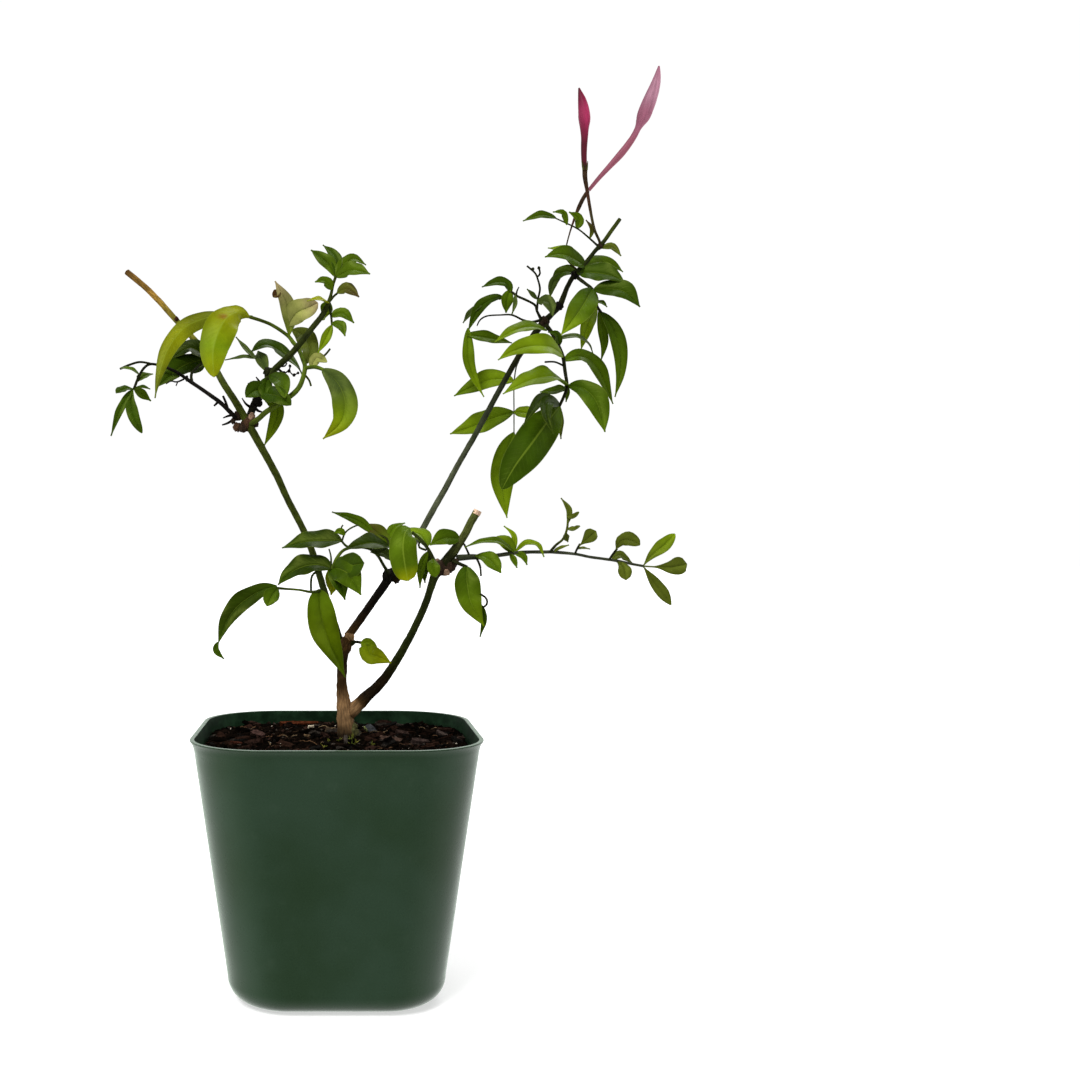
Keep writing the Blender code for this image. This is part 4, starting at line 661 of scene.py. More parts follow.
def low_left_spray():
    """Leafy shoot on the first knot of the right stem: it spreads to the left, in front of both stems."""
    return [
        stem(
            (389, 574, -8, 0.75), (384, 566, -11, 0.55), (378, 556, -14, 0.5), (370, 549, -16, 0.5),
            (356, 547, -18, 0.5), (344, 550, -19, 0.55), (337, 558, -20, 0.6), (332, 569, -20, 0.6),
            tint=(BLACK, TENDER, TENDER, SHOOT_GREEN, SHOOT_GREEN),
        ),
        stem((375, 553, -15, 0.5), (384, 550, -15, 0.5), (389, 545, -15, 0.5), tint=TENDER),
        stem((350, 548, -18, 0.45), (345, 545, -18, 0.4), (341, 540, -18, 0.4), tint=TENDER),
        stem((332, 568, -20, 0.5), (321, 570, -18, 0.4), (312, 576, -18, 0.4), (311, 591, -18, 0.4),
             tint=TENDER),
        stem((320, 591, -17, 0.6), (311, 592, -18, 0.5), (300, 590, -18, 0.4), (288, 589, -18, 0.4),
             (276, 588, -19, 0.5), tint=(TENDER, SHOOT_GREEN, TENDER)),
        leaf((342, 541, -18), (325, 541, -16), (305, 542, -15), (282, 548, -14), width=9.8, face=UPWARD,
             widest=0.4, tint=(DEEP, DEEP, DARK)),
        leaf((332, 569, -20), (318, 565, -19), (303, 567, -19), (289, 574, -19), (278, 585, -20), width=9.6,
             face=UPWARD, widest=0.42, tint=(DEEP, DEEP, DARK)),
        leaf((277, 586, -19), (262, 590, -20), (248, 598, -22), (235, 609, -24), (225, 624, -26), (218, 644, -28),
             width=7.2, face=LIFTED, widest=0.45, tint=(DARK, DEEP, DEEP, DARK)),
        leaf((218, 642, -28), (216, 650, -28), (224, 659, -29), width=2.2, face=TOWARD, tint=DARK),
        leaf((278, 588, -19), (271, 597, -21), (267, 606, -23), width=5.6, face=TOWARD, widest=0.5, tip=0.6,
             tint=(DARK, MID)),
        leaf((319, 589, -17), (320, 606, -17), (323, 624, -15), (330, 644, -12), (338, 661, -9), (345, 677, -7),
             width=10.8, face=TOWARD, widest=0.33, fold=22, tint=(MID, LIME, MID)),
        leaf((331, 568, -19), (349, 566, -24), (364, 563, -28), width=9.0, face=TOWARD, widest=0.65, tip=0.5,
             tint=DARK),
        leaf((331, 567, -19), (347, 573, -25), (361, 595, -29), width=9.6, face=TOWARD, tint=(DARK, MID)),
        leaf((332, 567, -19), (340, 582, -23), (345, 600, -25), width=6.2, face=TOWARD, tint=DARK),
        leaf((331, 567, -20), (333, 583, -17), (331, 595, -15), width=5.4, face=TOWARD, tint=(LIME, YELLOW)),
        leaf((389, 546, -15), (370, 543, -20), (345, 549, -23), width=8.2, face=UPWARD, tint=DEEP),
        leaf((374, 534, -13), (358, 521, -14), (332, 512, -17), width=3.8, face=LIFTED, tint=(MID, DARK)),
        leaf((390, 546, -15), (377, 532, -13), (361, 524, -12), width=5.8, face=LIFTED, tint=(MID, BROWN)),
        stem((389, 546, -15, 0.5), (386, 538, -14, 0.45), (374, 534, -13, 0.45), tint=STEM_GREEN),
        leaf((387, 540, -14), (394, 528, -13), (405, 523, -11), width=3.4, face=UPWARD, tint=MID),
        leaf((371, 552, -16), (384, 553, -13), (397, 563, -11), width=4.2, face=LIFTED, tint=GREY),
        stem((331, 568, -20, 0.4), (331, 557, -18, 0.3), (329, 549, -17, 0.25), tint=TENDER),
        stem((342, 541, -18, 0.35), (345, 533, -19, 0.3), (351, 528, -20, 0.3), (358, 525, -20, 0.3), tint=TENDER),
        stem((345, 533, -19, 0.3), (341, 529, -19, 0.25), (343, 525, -19, 0.25), tint=TENDER),
        leaf((345, 535, -19), (340, 531, -19), (334, 533, -18), width=2.4, face=TOWARD, tint=MID),
    ]


def low_right_spray():
    """Short leafy shoot on the right arm's knot: a broad hanging leaf with a yellow tip and smaller ones."""
    return [
        stem(
            (436, 566, -23, 0.9), (432, 557, -24, 0.7), (428, 549, -24, 0.6), (421, 540, -24, 0.55),
            (412, 532, -24, 0.5), tint=(TWIG_DARK, TENDER),
        ),
        leaf((410, 528, -25), (405, 533, -28), (403, 548, -31), (405, 565, -32), (408, 581, -32), width=9.6,
             face=TOWARD, widest=0.55, base=0.4, tip=0.35, fold=-10, tint=(MID, MID, MID, MID, YELLOW)),
        leaf((427, 547, -24), (421, 535, -20), (403, 529, -17), width=5.8, face=UPWARD, tint=(MID, LIME)),
        leaf((433, 558, -24), (433, 566, -27), (436, 577, -28), width=4.4, face=TOWARD, widest=0.6, tip=0.5,
             tint=MID),
        leaf((429, 551, -24), (424, 566, -20), (425, 583, -17), width=4.2, face=TOWARD, tint=DARK),
        leaf((428, 552, -24), (421, 568, -22), (420, 588, -20), width=2.8, face=TOWARD, tint=MID),
        stem((426, 550, -24, 0.4), (419, 547, -22, 0.35), (420, 540, -21, 0.35), tint=STEM_GREEN),
    ]


def stub_leaf():
    """Leaf on the left of the cut stub."""
    return [
        leaf((460, 539, -24), (444, 538, -25), (430, 545, -27), width=6.4, face=LIFTED, tint=(DARK, MID)),
    ]


def hanging_leaf():
    """Drooping leaf on its own stalk below the trailing branch, with a narrow one behind and a tendril."""
    return [
        stem((453, 561, -24, 0.7), (460, 564, -26, 0.6), (467, 567, -27, 0.55), tint=TWIG_DARK),
        leaf((466, 566, -27), (467, 582, -30), (470, 600, -32), (476, 613, -33), (484, 626, -33), width=8.8,
             face=TOWARD, widest=0.4, fold=10, tint=(DARK, MID, LIME)),
        leaf((479, 602, -32), (484, 618, -31), (480, 637, -31), width=2.2, face=TOWARD, tint=DARK),
        stem((480, 594, -32, 0.35), (486, 598, -32, 0.35), (487, 604, -32, 0.35), (482, 608, -32, 0.35),
             tint=TWIG_DARK),
    ]


def trailing_branch():
    """Thin branch that reaches out to the right, with small leaves along it and a fan of them at its end."""
    return [
        stem(
            (457, 558, -23, 1.1), (470, 557, -22, 1.0), (485, 557, -21, 0.8), (500, 555, -20, 0.7),
            (515, 553, -19, 0.7), (530, 552, -18, 0.6), (545, 552, -17, 0.6), (553, 552, -16, 0.6),
            (575, 554, -14, 0.5), (590, 557, -12, 0.5), (605, 559, -10, 0.5), (618, 561, -8, 0.5),
            (632, 564, -6, 0.45), (643, 566, -5, 0.45),
            tint=(STEM_SHADE, BRANCH_GREY, BRANCH_GREY, BRANCH_GREY, BRANCH_GREY),
        ),
        leaf((515, 553, -19), (500, 542, -23), (483, 541, -25), (465, 547, -27), width=3.2, face=UPWARD, tint=MID),
        leaf((515, 553, -19), (503, 541, -18), (490, 541, -17), width=5.0, face=LIFTED, tint=(MID, LIME)),
        leaf((514, 552, -19), (514, 536, -17), (504, 526, -15), width=2.0, face=TOWARD, tint=LIME),
        leaf((516, 551, -19), (526, 543, -20), (538, 545, -21), (544, 557, -22), width=2.6, face=UPWARD, tint=LIME),
        leaf((474, 556, -22), (488, 558, -26), (501, 573, -29), width=5.6, face=LIFTED, widest=0.6, tint=MID),
        leaf((510, 554, -20), (514, 560, -21), (517, 568, -22), width=2.2, face=TOWARD, tint=MID),
        leaf((514, 553, -19), (523, 556, -20), (527, 565, -21), width=2.6, face=LIFTED, tint=MID),
        stem((470, 557, -22, 0.4), (467, 550, -23, 0.35), (464, 544, -24, 0.35), tint=TWIG_DARK),
        stem((476, 557, -22, 0.4), (480, 566, -23, 0.35), (481, 576, -24, 0.35), tint=TWIG_DARK),
        stem((550, 552, -17, 0.5), (556, 545, -16, 0.45), (563, 539, -15, 0.4), (567, 529, -14, 0.4),
             (568, 518, -13, 0.4), tint=(TWIG_DARK, OLIVE)),
        leaf((568, 523, -13), (569, 510, -12), (561, 498, -10), width=2.2, face=TOWARD, tint=OLIVE),
        leaf((567, 517, -13), (573, 517, -14), (579, 512, -15), width=2.4, face=UPWARD, tip=0.5, tint=OLIVE),
        leaf((567, 529, -14), (574, 529, -15), (580, 526, -16), width=2.4, face=UPWARD, tip=0.5, tint=OLIVE),
        leaf((566, 533, -14), (566, 537, -13), (568, 542, -12), width=2.4, face=TOWARD, tint=OLIVE),
        leaf((553, 552, -16), (560, 548, -17), (569, 545, -18), width=1.6, face=UPWARD, tint=OLIVE),
        stem((575, 554, -14, 0.4), (577, 549, -15, 0.4), (580, 544, -16, 0.4), tint=TWIG_DARK),
        leaf((579, 546, -16), (586, 540, -17), (596, 531, -18), width=5.0, face=LIFTED, widest=0.7, tip=0.45,
             tint=OLIVE),
        leaf((577, 549, -15), (583, 548, -14), (590, 549, -13), width=1.3, face=UPWARD, tint=OLIVE),
        stem((609, 560, -10, 0.4), (613, 554, -11, 0.4), (617, 549, -12, 0.4), tint=TWIG_DARK),
        leaf((616, 550, -12), (621, 541, -13), (630, 540, -14), (640, 545, -15), width=5.6, face=LIFTED,
             widest=0.6, tip=0.6, tint=OLIVE),
        leaf((612, 560, -9), (620, 555, -7), (632, 563, -5), width=3.2, face=LIFTED, tint=OLIVE),
        leaf((616, 561, -8), (623, 567, -10), (626, 580, -12), width=5.0, face=TOWARD, widest=0.65, tip=0.5,
             tint=OLIVE),
        leaf((643, 566, -5), (652, 555, -4), (664, 545, -3), (675, 534, -2), width=5.0, face=LIFTED, widest=0.62,
             tip=0.6, tint=(OLIVE, LIME)),
        leaf((643, 566, -5), (658, 567, -8), (673, 567, -11), (687, 564, -13), width=6.4, face=TOWARD,
             widest=0.8, tip=0.4, tint=OLIVE),
        leaf((643, 566, -5), (652, 579, -6), (661, 591, -7), (671, 605, -8), width=4.6, face=TOWARD, widest=0.6,
             tip=0.7, tint=OLIVE),
    ]


def upper_left_spray():
    """Wiry shoot on the second knot of the right stem: arched leaves, a long strap and a budded twig."""
    return [
        stem(
            (541, 319, 16, 0.6), (537, 311, 14, 0.5), (535, 305, 14, 0.45), (526, 300, 15, 0.45),
            (517, 296, 16, 0.45), (511, 292, 17, 0.5), (505, 296, 18, 0.5), (499, 299, 19, 0.45), tint=TWIG_DARK,
        ),
        stem((541, 320, 16, 0.6), (532, 322, 17, 0.45), (523, 320, 18, 0.4), (512, 315, 18, 0.35),
             (500, 315, 19, 0.3), (487, 316, 20, 0.3), (480, 320, 20, 0.3), (477, 326, 20, 0.2), tint=TWIG_DARK),
        stem((516, 296, 16, 0.4), (517, 291, 16, 0.3), (519, 287, 16, 0.2), tint=TWIG_DARK),
        leaf((511, 293, 17), (507, 284, 17), (497, 282, 16), (482, 287, 14), width=4.2, face=LIFTED, tint=DARK),
        leaf((510, 290, 17), (507, 300, 17), (506, 313, 18), width=4.6, face=TOWARD, tint=MID),
        leaf((515, 295, 16), (515, 304, 14), (512, 314, 13), width=1.8, face=TOWARD, tint=GREY),
        leaf((503, 297, 18), (490, 300, 21), (478, 310, 23), (468, 331, 24), width=4.8, face=LIFTED,
             widest=0.4, tint=DARK),
        leaf((468, 328, 24), (468, 345, 23), (469, 362, 22), (475, 380, 21), (484, 397, 20), width=4.6,
             face=TOWARD, widest=0.4, tint=(MID, LIME)),
        leaf((482, 306, 22), (471, 312, 25), (463, 323, 28), width=2.8, face=LIFTED, tint=GREY),
        leaf((467, 335, 23), (489, 338, 26), (512, 343, 27), width=5.4, face=LIFTED, tint=MID),
        stem((537, 310, 14, 0.45), (538, 299, 12, 0.4), (540, 289, 11, 0.4), (538, 280, 10, 0.35),
             (535, 273, 9, 0.35), (527, 266, 8, 0.35), tint=TWIG_DARK),
        knot((533, 269, 9), 0.55, TWIG_DARK),
        stem((537, 277, 10, 0.35), (540, 274, 10, 0.35), (539, 268, 10, 0.35), tint=TWIG_DARK),
        knot((539, 268, 10), 0.55, TWIG_DARK),
        leaf((537, 299, 12), (532, 294, 11), (527, 289, 10), width=1.9, face=TOWARD, tint=GREY),
        leaf((537, 301, 12), (548, 302, 8), (553, 316, 5), width=5.0, face=TOWARD, widest=0.45, tint=GREY),
    ]


def upper_middle_spray():
    """Drooping shoot on the second knot of the right stem: bright arched leaves and a broad dark one."""
    return [
        stem(
            (546, 325, 15, 0.8), (552, 333, 13, 0.75), (558, 345, 11, 0.7), (563, 357, 9, 0.7),
            (565, 371, 7, 0.65), (567, 386, 5, 0.6), (564, 396, 3, 0.55), (559, 407, 1, 0.55), tint=TWIG_DARK,
        ),
        leaf((547, 330, 14), (530, 327, 10), (513, 331, 7), (495, 342, 5), width=6.6, face=UPWARD, tint=(MID, LIME)),
        leaf((563, 356, 9), (550, 347, 2), (531, 346, -2), (513, 351, -4), (498, 360, -5), width=9.2,
             face=LIFTED, widest=0.42, tint=(LIME, LIME)),
        leaf((567, 385, 5), (553, 377, -2), (534, 379, -6), (517, 386, -8), (503, 394, -9), width=10.2,
             face=UPWARD, widest=0.42, tint=(MID, LIME)),
        leaf((566, 390, 4), (554, 391, 9), (540, 392, 13), width=4.8, face=LIFTED, tint=MID),
        leaf((566, 383, 6), (567, 394, 7), (566, 402, 8), width=2.2, face=TOWARD, tint=MID),
        leaf((560, 406, 1), (548, 421, -6), (532, 443, -12), (515, 466, -16), (502, 489, -18), width=13.2,
             face=TOWARD, widest=0.5, base=0.6, tip=0.6, fold=-8, tint=(MID, DARK, DARK)),
        leaf((559, 405, 1), (547, 402, -8), (547, 418, -15), (554, 434, -18), width=4.8, face=TOWARD, tint=DEEP),
        leaf((559, 403, 1), (543, 399, -8), (532, 410, -14), (523, 427, -17), width=4.4, face=TOWARD, tint=DEEP),
        leaf((559, 407, 1), (560, 422, 5), (561, 439, 8), width=2.8, face=TOWARD, tint=OLIVE),
        leaf((567, 386, 5), (583, 388, 1), (597, 403, -3), (605, 432, -7), width=8.8, face=TOWARD, widest=0.5,
             tint=(DARK, MID)),
        leaf((563, 361, 9), (581, 356, 12), (598, 369, 15), (613, 404, 17), width=6.6, face=LIFTED,
             widest=0.42, tint=MID),
        stem((564, 366, 8, 0.4), (555, 362, 6, 0.35), (545, 362, 4, 0.35), tint=TWIG_DARK),
        leaf((556, 340, 12), (574, 336, 14), (588, 343, 17), (593, 354, 19), width=3.2, face=UPWARD, tint=GREY),
        leaf((559, 346, 11), (557, 335, 9), (548, 332, 8), width=3.2, face=LIFTED, tint=DARK),
    ]


def upper_hanging_leaf():
    """Compound leaf that hangs on a thin thread behind the right stem: four leaflets."""
    return [
        stem((520, 354.6, 18.9, 0.4), (519, 360, 21.5, 0.35), (516, 368, 25, 0.3), (514, 385, 27, 0.25),
             (514, 412, 28, 0.25), (514, 434, 28, 0.25), tint=STEM_GREY),
        leaf((514, 381, 27), (495, 379, 28), (476, 385, 30), (454, 396, 32), width=8.4, face=LIFTED, tint=(LIME, MID)),
        leaf((514, 412, 28), (497, 417, 29), (477, 425, 31), (450, 434, 33), width=9.4, face=LIFTED,
             widest=0.45, tint=(MID, LIME)),
        leaf((514, 412, 28), (526, 413, 26), (538, 417, 24), width=5.6, face=LIFTED, tint=LIME),
        leaf((514, 432, 28), (507, 450, 28), (502, 476, 28), (504, 500, 27), (507, 518, 26), width=9.6,
             face=TOWARD, widest=0.45, tint=(MID, LIME)),
    ]


def top_shoot():
    """Leafy tip of the right stem: a knot with five arched leaves, the twig with leaflets and a cut end."""
    return [
        stem(
            (573, 277, 13, 1.0), (580, 269, 12, 1.0), (588, 260, 12, 0.8), (595, 251, 12, 0.75),
            (600, 246, 12, 0.9), (605, 240, 12, 0.75), (612, 230, 12, 0.75), (620, 219, 12, 0.7),
            tint=(TWIG_DARK, STEM_GREEN, TWIG_DARK, STEM_GREEN, STEM_OLIVE, STEM_GREEN), cap=CUT_DARK,
        ),
        knot((575, 275, 13), 1.5, BLACK),
        knot((600, 246, 12), 1.1, KNOT_DARK),
        leaf((586, 267, 12), (574, 259, 9), (561, 254, 7), (545, 257, 5), width=7.6, face=LIFTED, widest=0.42,
             tint=(DARK, MID)),
        leaf((583, 264, 12), (567, 251, 16), (548, 248, 20), width=4.6, face=LIFTED, tint=LIME),
        leaf((576, 273, 14), (563, 272, 17), (551, 281, 19), width=5.6, face=LIFTED, tint=DARK),
        leaf((562, 273, 17), (553, 283, 19), (550, 298, 20), width=3.4, face=TOWARD, tint=GREY),
        leaf((585, 266, 12), (600, 262, 16), (613, 265, 18), (623, 272, 19), width=6.2, face=LIFTED, tint=MID),
        leaf((577, 272, 12), (596, 273, 8), (612, 276, 5), (625, 283, 3), width=9.0, face=LIFTED, widest=0.45,
             tint=(DARK, DARK)),
        stem((598, 246, 12, 0.45), (588, 237, 11, 0.34), (578, 229, 10, 0.3), (566, 223, 9, 0.27),
             (555, 218, 8, 0.25), tint=(TWIG_DARK, TENDER)),
        leaf((556, 218, 8), (541, 215, 7), (523, 221, 6), width=3.4, face=LIFTED, tint=(DARK, MID)),
        leaf((567, 225, 9), (563, 213, 8), (553, 212, 6), width=2.4, face=TOWARD, tint=MID),
        leaf((577, 229, 10), (579, 219, 10), (569, 212, 9), width=3.6, face=TOWARD, tint=MID),
        leaf((590, 238, 11), (592, 229, 11), (586, 220, 12), width=1.8, face=TOWARD, tint=(OLIVE, BROWN)),
        leaf((601, 248, 12), (612, 247, 11), (621, 256, 9), width=3.2, face=LIFTED, tint=OLIVE),
    ]


def upper_right_spray():
    """Shoot on the right of the top knot: a front leaf, an arched dark one and long hanging leaves."""
    return [
        stem(
            (578, 278, 11, 0.7), (586, 284, 8, 0.6), (592, 289, 6, 0.6), (597, 298, 8, 0.55), (597, 306, 9, 0.5),
            (601, 312, 10, 0.5), tint=TWIG_DARK,
        ),
        leaf((592, 288, 6), (585, 302, 1), (574, 318, -3), (561, 335, -5), width=9.4, face=TOWARD, widest=0.45,
             tint=(DARK, MID, LIME)),
        leaf((593, 290, 6), (608, 289, 4), (625, 292, 2), (640, 307, 0), width=8.4, face=LIFTED, widest=0.45,
             tint=DARK),
        leaf((601, 312, 10), (613, 328, 8), (620, 352, 7), (620, 375, 6), (615, 397, 5), width=5.8, face=TOWARD,
             widest=0.4, tint=(DARK, MID)),
        leaf((599, 310, 10), (602, 328, 12), (604, 345, 13), (601, 361, 14), width=3.8, face=TOWARD, tint=MID),
        leaf((597, 301, 8), (603, 303, 6), (607, 307, 5), width=2.0, face=LIFTED, tint=MID),
        leaf((597, 308, 9), (588, 323, 17), (581, 350, 23), width=5.2, face=TOWARD, tint=LIME),
    ]


def left_bud_stalk():
    """Green-brown stalk and calyx of the upright bud."""
    return [
        stem(
            (600.5, 245, 12, 0.5), (599, 240, 11, 0.5), (594, 228, 10, 0.5), (590, 208, 8, 0.55), (587, 190, 6, 0.65),
            (585, 177, 5, 0.85), (585, 166, 5, 0.95),
            tint=(STALK_BROWN, STALK_BROWN, STALK_BROWN, STALK_RED, CALYX_DARK, CALYX_DARK),
        ),
        stem((583.2, 170, 4.2, 0.35), (582.6, 165, 4.0, 0.25), (582.2, 161, 4.0, 0.1), tint=CALYX_GREEN),
        stem((586.8, 170, 4.2, 0.35), (587.4, 165, 4.0, 0.25), (587.8, 161, 4.0, 0.1), tint=CALYX_GREEN),
        stem((585, 170, 3.9, 0.35), (585, 165, 3.8, 0.25), (585, 162, 3.8, 0.1), tint=CALYX_DARK),
    ]


def right_bud_stalk():
    """Thin stalk and dark calyx of the leaning bud."""
    return [
        stem(
            (577, 270, 14, 0.4), (566, 258, 13, 0.28), (566, 248, 13, 0.28), (570, 232, 13, 0.3),
            (575, 217, 13, 0.5), (579, 207, 13, 0.75), (584, 197, 13, 0.75), (588, 191, 13, 0.7),
            tint=(STALK_BROWN, TWIG_DARK, STALK_BROWN, STALK_RED, CALYX_DARK, CALYX_DARK),
        ),
    ]


def left_bud():
    """Upright closed bud, deep magenta: a slim tube that swells to a pointed tip of furled petals."""
    return [
        furled(
            (584.5, 167, 5, 0.95), (584, 158, 5, 1.0), (584, 148, 5, 1.1), (584.5, 137, 5, 1.25),
            (584.5, 128, 5, 1.6), (584.5, 119, 5, 2.1), (583.5, 109, 5, 1.95), (582, 100, 5, 1.45),
            (580.5, 94, 5, 0.9), (579, 88, 5, 0.3), tint=(MAGENTA_DEEP, MAGENTA_DEEP, MAGENTA_DEEP, MAGENTA,
                                                          MAGENTA_BRIGHT, MAGENTA_BRIGHT, MAGENTA, MAGENTA_DEEP),
        ),
    ]


def right_bud():
    """Leaning closed bud, light pink: a long tube that swells to a pointed tip of furled petals."""
    return [
        furled(
            (589, 190, 13, 0.65), (599, 178, 12.7, 0.8), (609, 167, 12.3, 1.0), (620, 155, 11.8, 1.3),
            (628, 145, 11.4, 1.25), (634, 136, 11, 1.15), (638.5, 127, 10.6, 1.25), (643, 117, 10.1, 2.4),
            (647, 107, 9.6, 2.5), (651, 97, 9.2, 2.3), (655, 86, 8.7, 1.85), (657.5, 76, 8.3, 1.2), (659, 66, 8, 0.3),
            tint=(PINK_DEEP, PINK_DEEP, PINK_DEEP, PINK_DEEP, PINK_DEEP, PINK, PINK, PINK_PALE, PINK_PALE, PINK),
        ),
    ]


def rounded_square(half, corner, height):
    """Outline of a level square with round corners, with even points along its straight sides too."""
    points = []
    for quarter, (x, y) in enumerate(((1, 1), (-1, 1), (-1, -1), (1, -1))):
        for step in range(CORNER_STEPS + 1):
            turn = math.radians(90) * (quarter + step / CORNER_STEPS)
            points.append(Vector((
                x * (half - corner) + corner * math.cos(turn),
                y * (half - corner) + corner * math.sin(turn),
                height,
            )))
        flat = 2 * (half - corner)
        along_side = Vector((-math.sin(turn), math.cos(turn), 0.0)) * flat
        corner_end = points[-1]
        points += [corner_end.copy() + along_side * k / SIDE_STEPS for k in range(1, SIDE_STEPS)]
    return points


def loft(name, outlines, look, rough=0.0):
    """A closed body through outlines of equal count, with its first and last filled."""
    shape = bmesh.new()
    rings = [[shape.verts.new(point) for point in outline] for outline in outlines]
    for lower, upper in zip(rings, rings[1:]):
        for i in range(len(lower)):
            j = (i + 1) % len(lower)
            shape.faces.new((lower[i], lower[j], upper[j], upper[i]))
    shape.faces.new(list(reversed(rings[0])))
    shape.faces.new(rings[-1])
    bmesh.ops.recalc_face_normals(shape, faces=shape.faces)
    mesh = bpy.data.meshes.new(name)
    shape.to_mesh(mesh)
    shape.free()
    mesh.materials.append(look)
    thing = bpy.data.objects.new(name, mesh)
    bpy.context.scene.collection.objects.link(thing)
    return thing


def wall_outline(inset, height):
    """Outline of the pot's straight wall at a height, moved inwards."""
    share = (height - LOWER_EDGE) / (POT_HEIGHT - LOWER_EDGE)
    half = BASE_WIDTH / 2 + (RIM_WIDTH / 2 - LIP_OUT - BASE_WIDTH / 2) * share
    corner = BASE_CORNER + (RIM_CORNER - LIP_OUT - BASE_CORNER) * share
    return rounded_square(half - inset, corner - inset, height)


def cup_outlines(inset, top):
    """Outlines of the pot moved inwards: its floor, its round lower edge and its wall up to a height."""
    edge = LOWER_EDGE - inset
    outlines = []
    for step in range(EDGE_STEPS):
        turn = math.radians(90) * step / EDGE_STEPS
        pull = inset + edge * (1 - math.sin(turn))
        height = inset + edge * (1 - math.cos(turn))
        outlines.append(rounded_square(BASE_WIDTH / 2 - pull, BASE_CORNER - pull, height))
    for step in range(WALL_STEPS + 1):
        outlines.append(wall_outline(inset, LOWER_EDGE + (top - LOWER_EDGE) * step / WALL_STEPS))
    return outlines


def lip_outlines():
    """Outlines round the thin lip, from its curve out of the wall over its tip to its inner edge."""
    rim = RIM_WIDTH / 2
    outlines = []
    low = POT_HEIGHT - LIP_FLARE
    lean = (rim - LIP_OUT - BASE_WIDTH / 2) / (POT_HEIGHT - LOWER_EDGE)
    for step in range(1, LIP_STEPS + 1):
        share = step / LIP_STEPS
        pull = LIP_OUT + lean * LIP_FLARE * (1.0 - share) - (LIP_OUT - LIP_TRIM) * share**3
        outlines.append(rounded_square(rim - pull, RIM_CORNER - pull, low + (LIP_FLARE - 2 * LIP_ROUND) * share))
    for step in range(1, LIP_STEPS + 1):
        turn = math.radians(180) * step / (LIP_STEPS + 1)
        pull = LIP_TRIM + LIP_ROUND * (1.0 - math.sin(turn))
        height = POT_HEIGHT - LIP_ROUND * (1.0 + math.cos(turn))
        outlines.append(rounded_square(rim - pull, RIM_CORNER - pull, height))
    inner = LIP_OUT + RIM_WALL
    for step in range(LIP_STEPS + 1):
        turn = math.radians(90) * step / LIP_STEPS
        pull = inner - LIP_ROUND * (1.0 - math.sin(turn))
        height = POT_HEIGHT - LIP_ROUND * (1.0 - math.cos(turn))
        outlines.append(rounded_square(rim - pull, RIM_CORNER - pull, height))
    return outlines


def drain_hole(x, y):
    """An upright cylinder through the pot's floor."""
    shape = bmesh.new()
    bmesh.ops.create_cone(
        shape, cap_ends=True, segments=HOLE_SIDES, radius1=DRAIN_HOLE, radius2=DRAIN_HOLE, depth=4 * WALL
    )
    bmesh.ops.translate(shape, verts=shape.verts, vec=(x, y, WALL / 2))
    mesh = bpy.data.meshes.new("drain_hole")
    shape.to_mesh(mesh)
    shape.free()
    cutter = bpy.data.objects.new("drain_hole", mesh)
    bpy.context.scene.collection.objects.link(cutter)
    return cutter


def pot():
    """The moulded shell with its soft lip and drain holes."""
    outer = cup_outlines(0.0, POT_HEIGHT - LIP_FLARE) + lip_outlines()
    shell = loft("pot_shell", outer + cup_outlines(WALL, SOIL_TOP)[::-1], plastic())
    shell.data.materials.append(inner_plastic())
    sides = len(outer[0])
    # The inner faces take the darker material, which paints the shade inside the pot.
    for face in shell.data.polygons:
        if face.index >= (len(outer) - 2) * sides:
            face.material_index = 1
    places = [(x, y) for x in (-DRAIN_PLACE, DRAIN_PLACE) for y in (-DRAIN_PLACE, DRAIN_PLACE)]
    cutters = [drain_hole(x, y) for x, y in places]
    for cutter in cutters:
        cut = shell.modifiers.new("drain", "BOOLEAN")
        cut.operation = "DIFFERENCE"
        cut.object = cutter
    bpy.context.view_layer.update()
    evaluated = shell.evaluated_get(bpy.context.evaluated_depsgraph_get())
    mesh = bpy.data.meshes.new_from_object(evaluated)
    shell.modifiers.clear()
    shell.data = mesh
    for cutter in cutters:
        bpy.data.objects.remove(cutter, do_unlink=True)
    mesh.shade_smooth()
    mesh.set_sharp_from_angle(angle=math.radians(32))
    return shell


def ground_height(x, y):
    """Height of the soil: a low mound round the trunk with lumps of several sizes."""
    foot = at(*TRUNK_FOOT)
    near = math.hypot(x - foot.x, y - foot.y) / (RIM_WIDTH / 2)
    height = SOIL_TOP + SOIL_MOUND * max(0.0, 1.0 - near) ** 2
    for size, rise in SOIL_LUMPS:
        height += rise * noise.noise(Vector((x, y, size * 9)) / size)
    return height


def soil():
    """Bark mix that fills the pot, with a rough crumbly top."""
    foot = at(*TRUNK_FOOT)
    outlines = cup_outlines(WALL + GAP, SOIL_TOP - 1.2 * MM)
    edge = outlines[-1]
    for ring in range(1, SOIL_RINGS + 1):
        share = 1.0 - ring / (SOIL_RINGS + 1)
        level = []
        for point in edge:
            x = foot.x + (point.x - foot.x) * share
            y = foot.y + (point.y - foot.y) * share
            level.append(Vector((x, y, ground_height(x, y))))
        outlines.append(level)
    ground = loft("soil_ground", outlines, earth())
    ground.data.shade_smooth()
    return ground


def inside_pot(x, y, margin):
    """True where a place lies inside the pot's mouth by a margin."""
    half = RIM_WIDTH / 2 - LIP_OUT - WALL - margin
    corner = RIM_CORNER - WALL - margin
    over = max(abs(x) - (half - corner), 0.0), max(abs(y) - (half - corner), 0.0)
    return math.hypot(*over) < corner


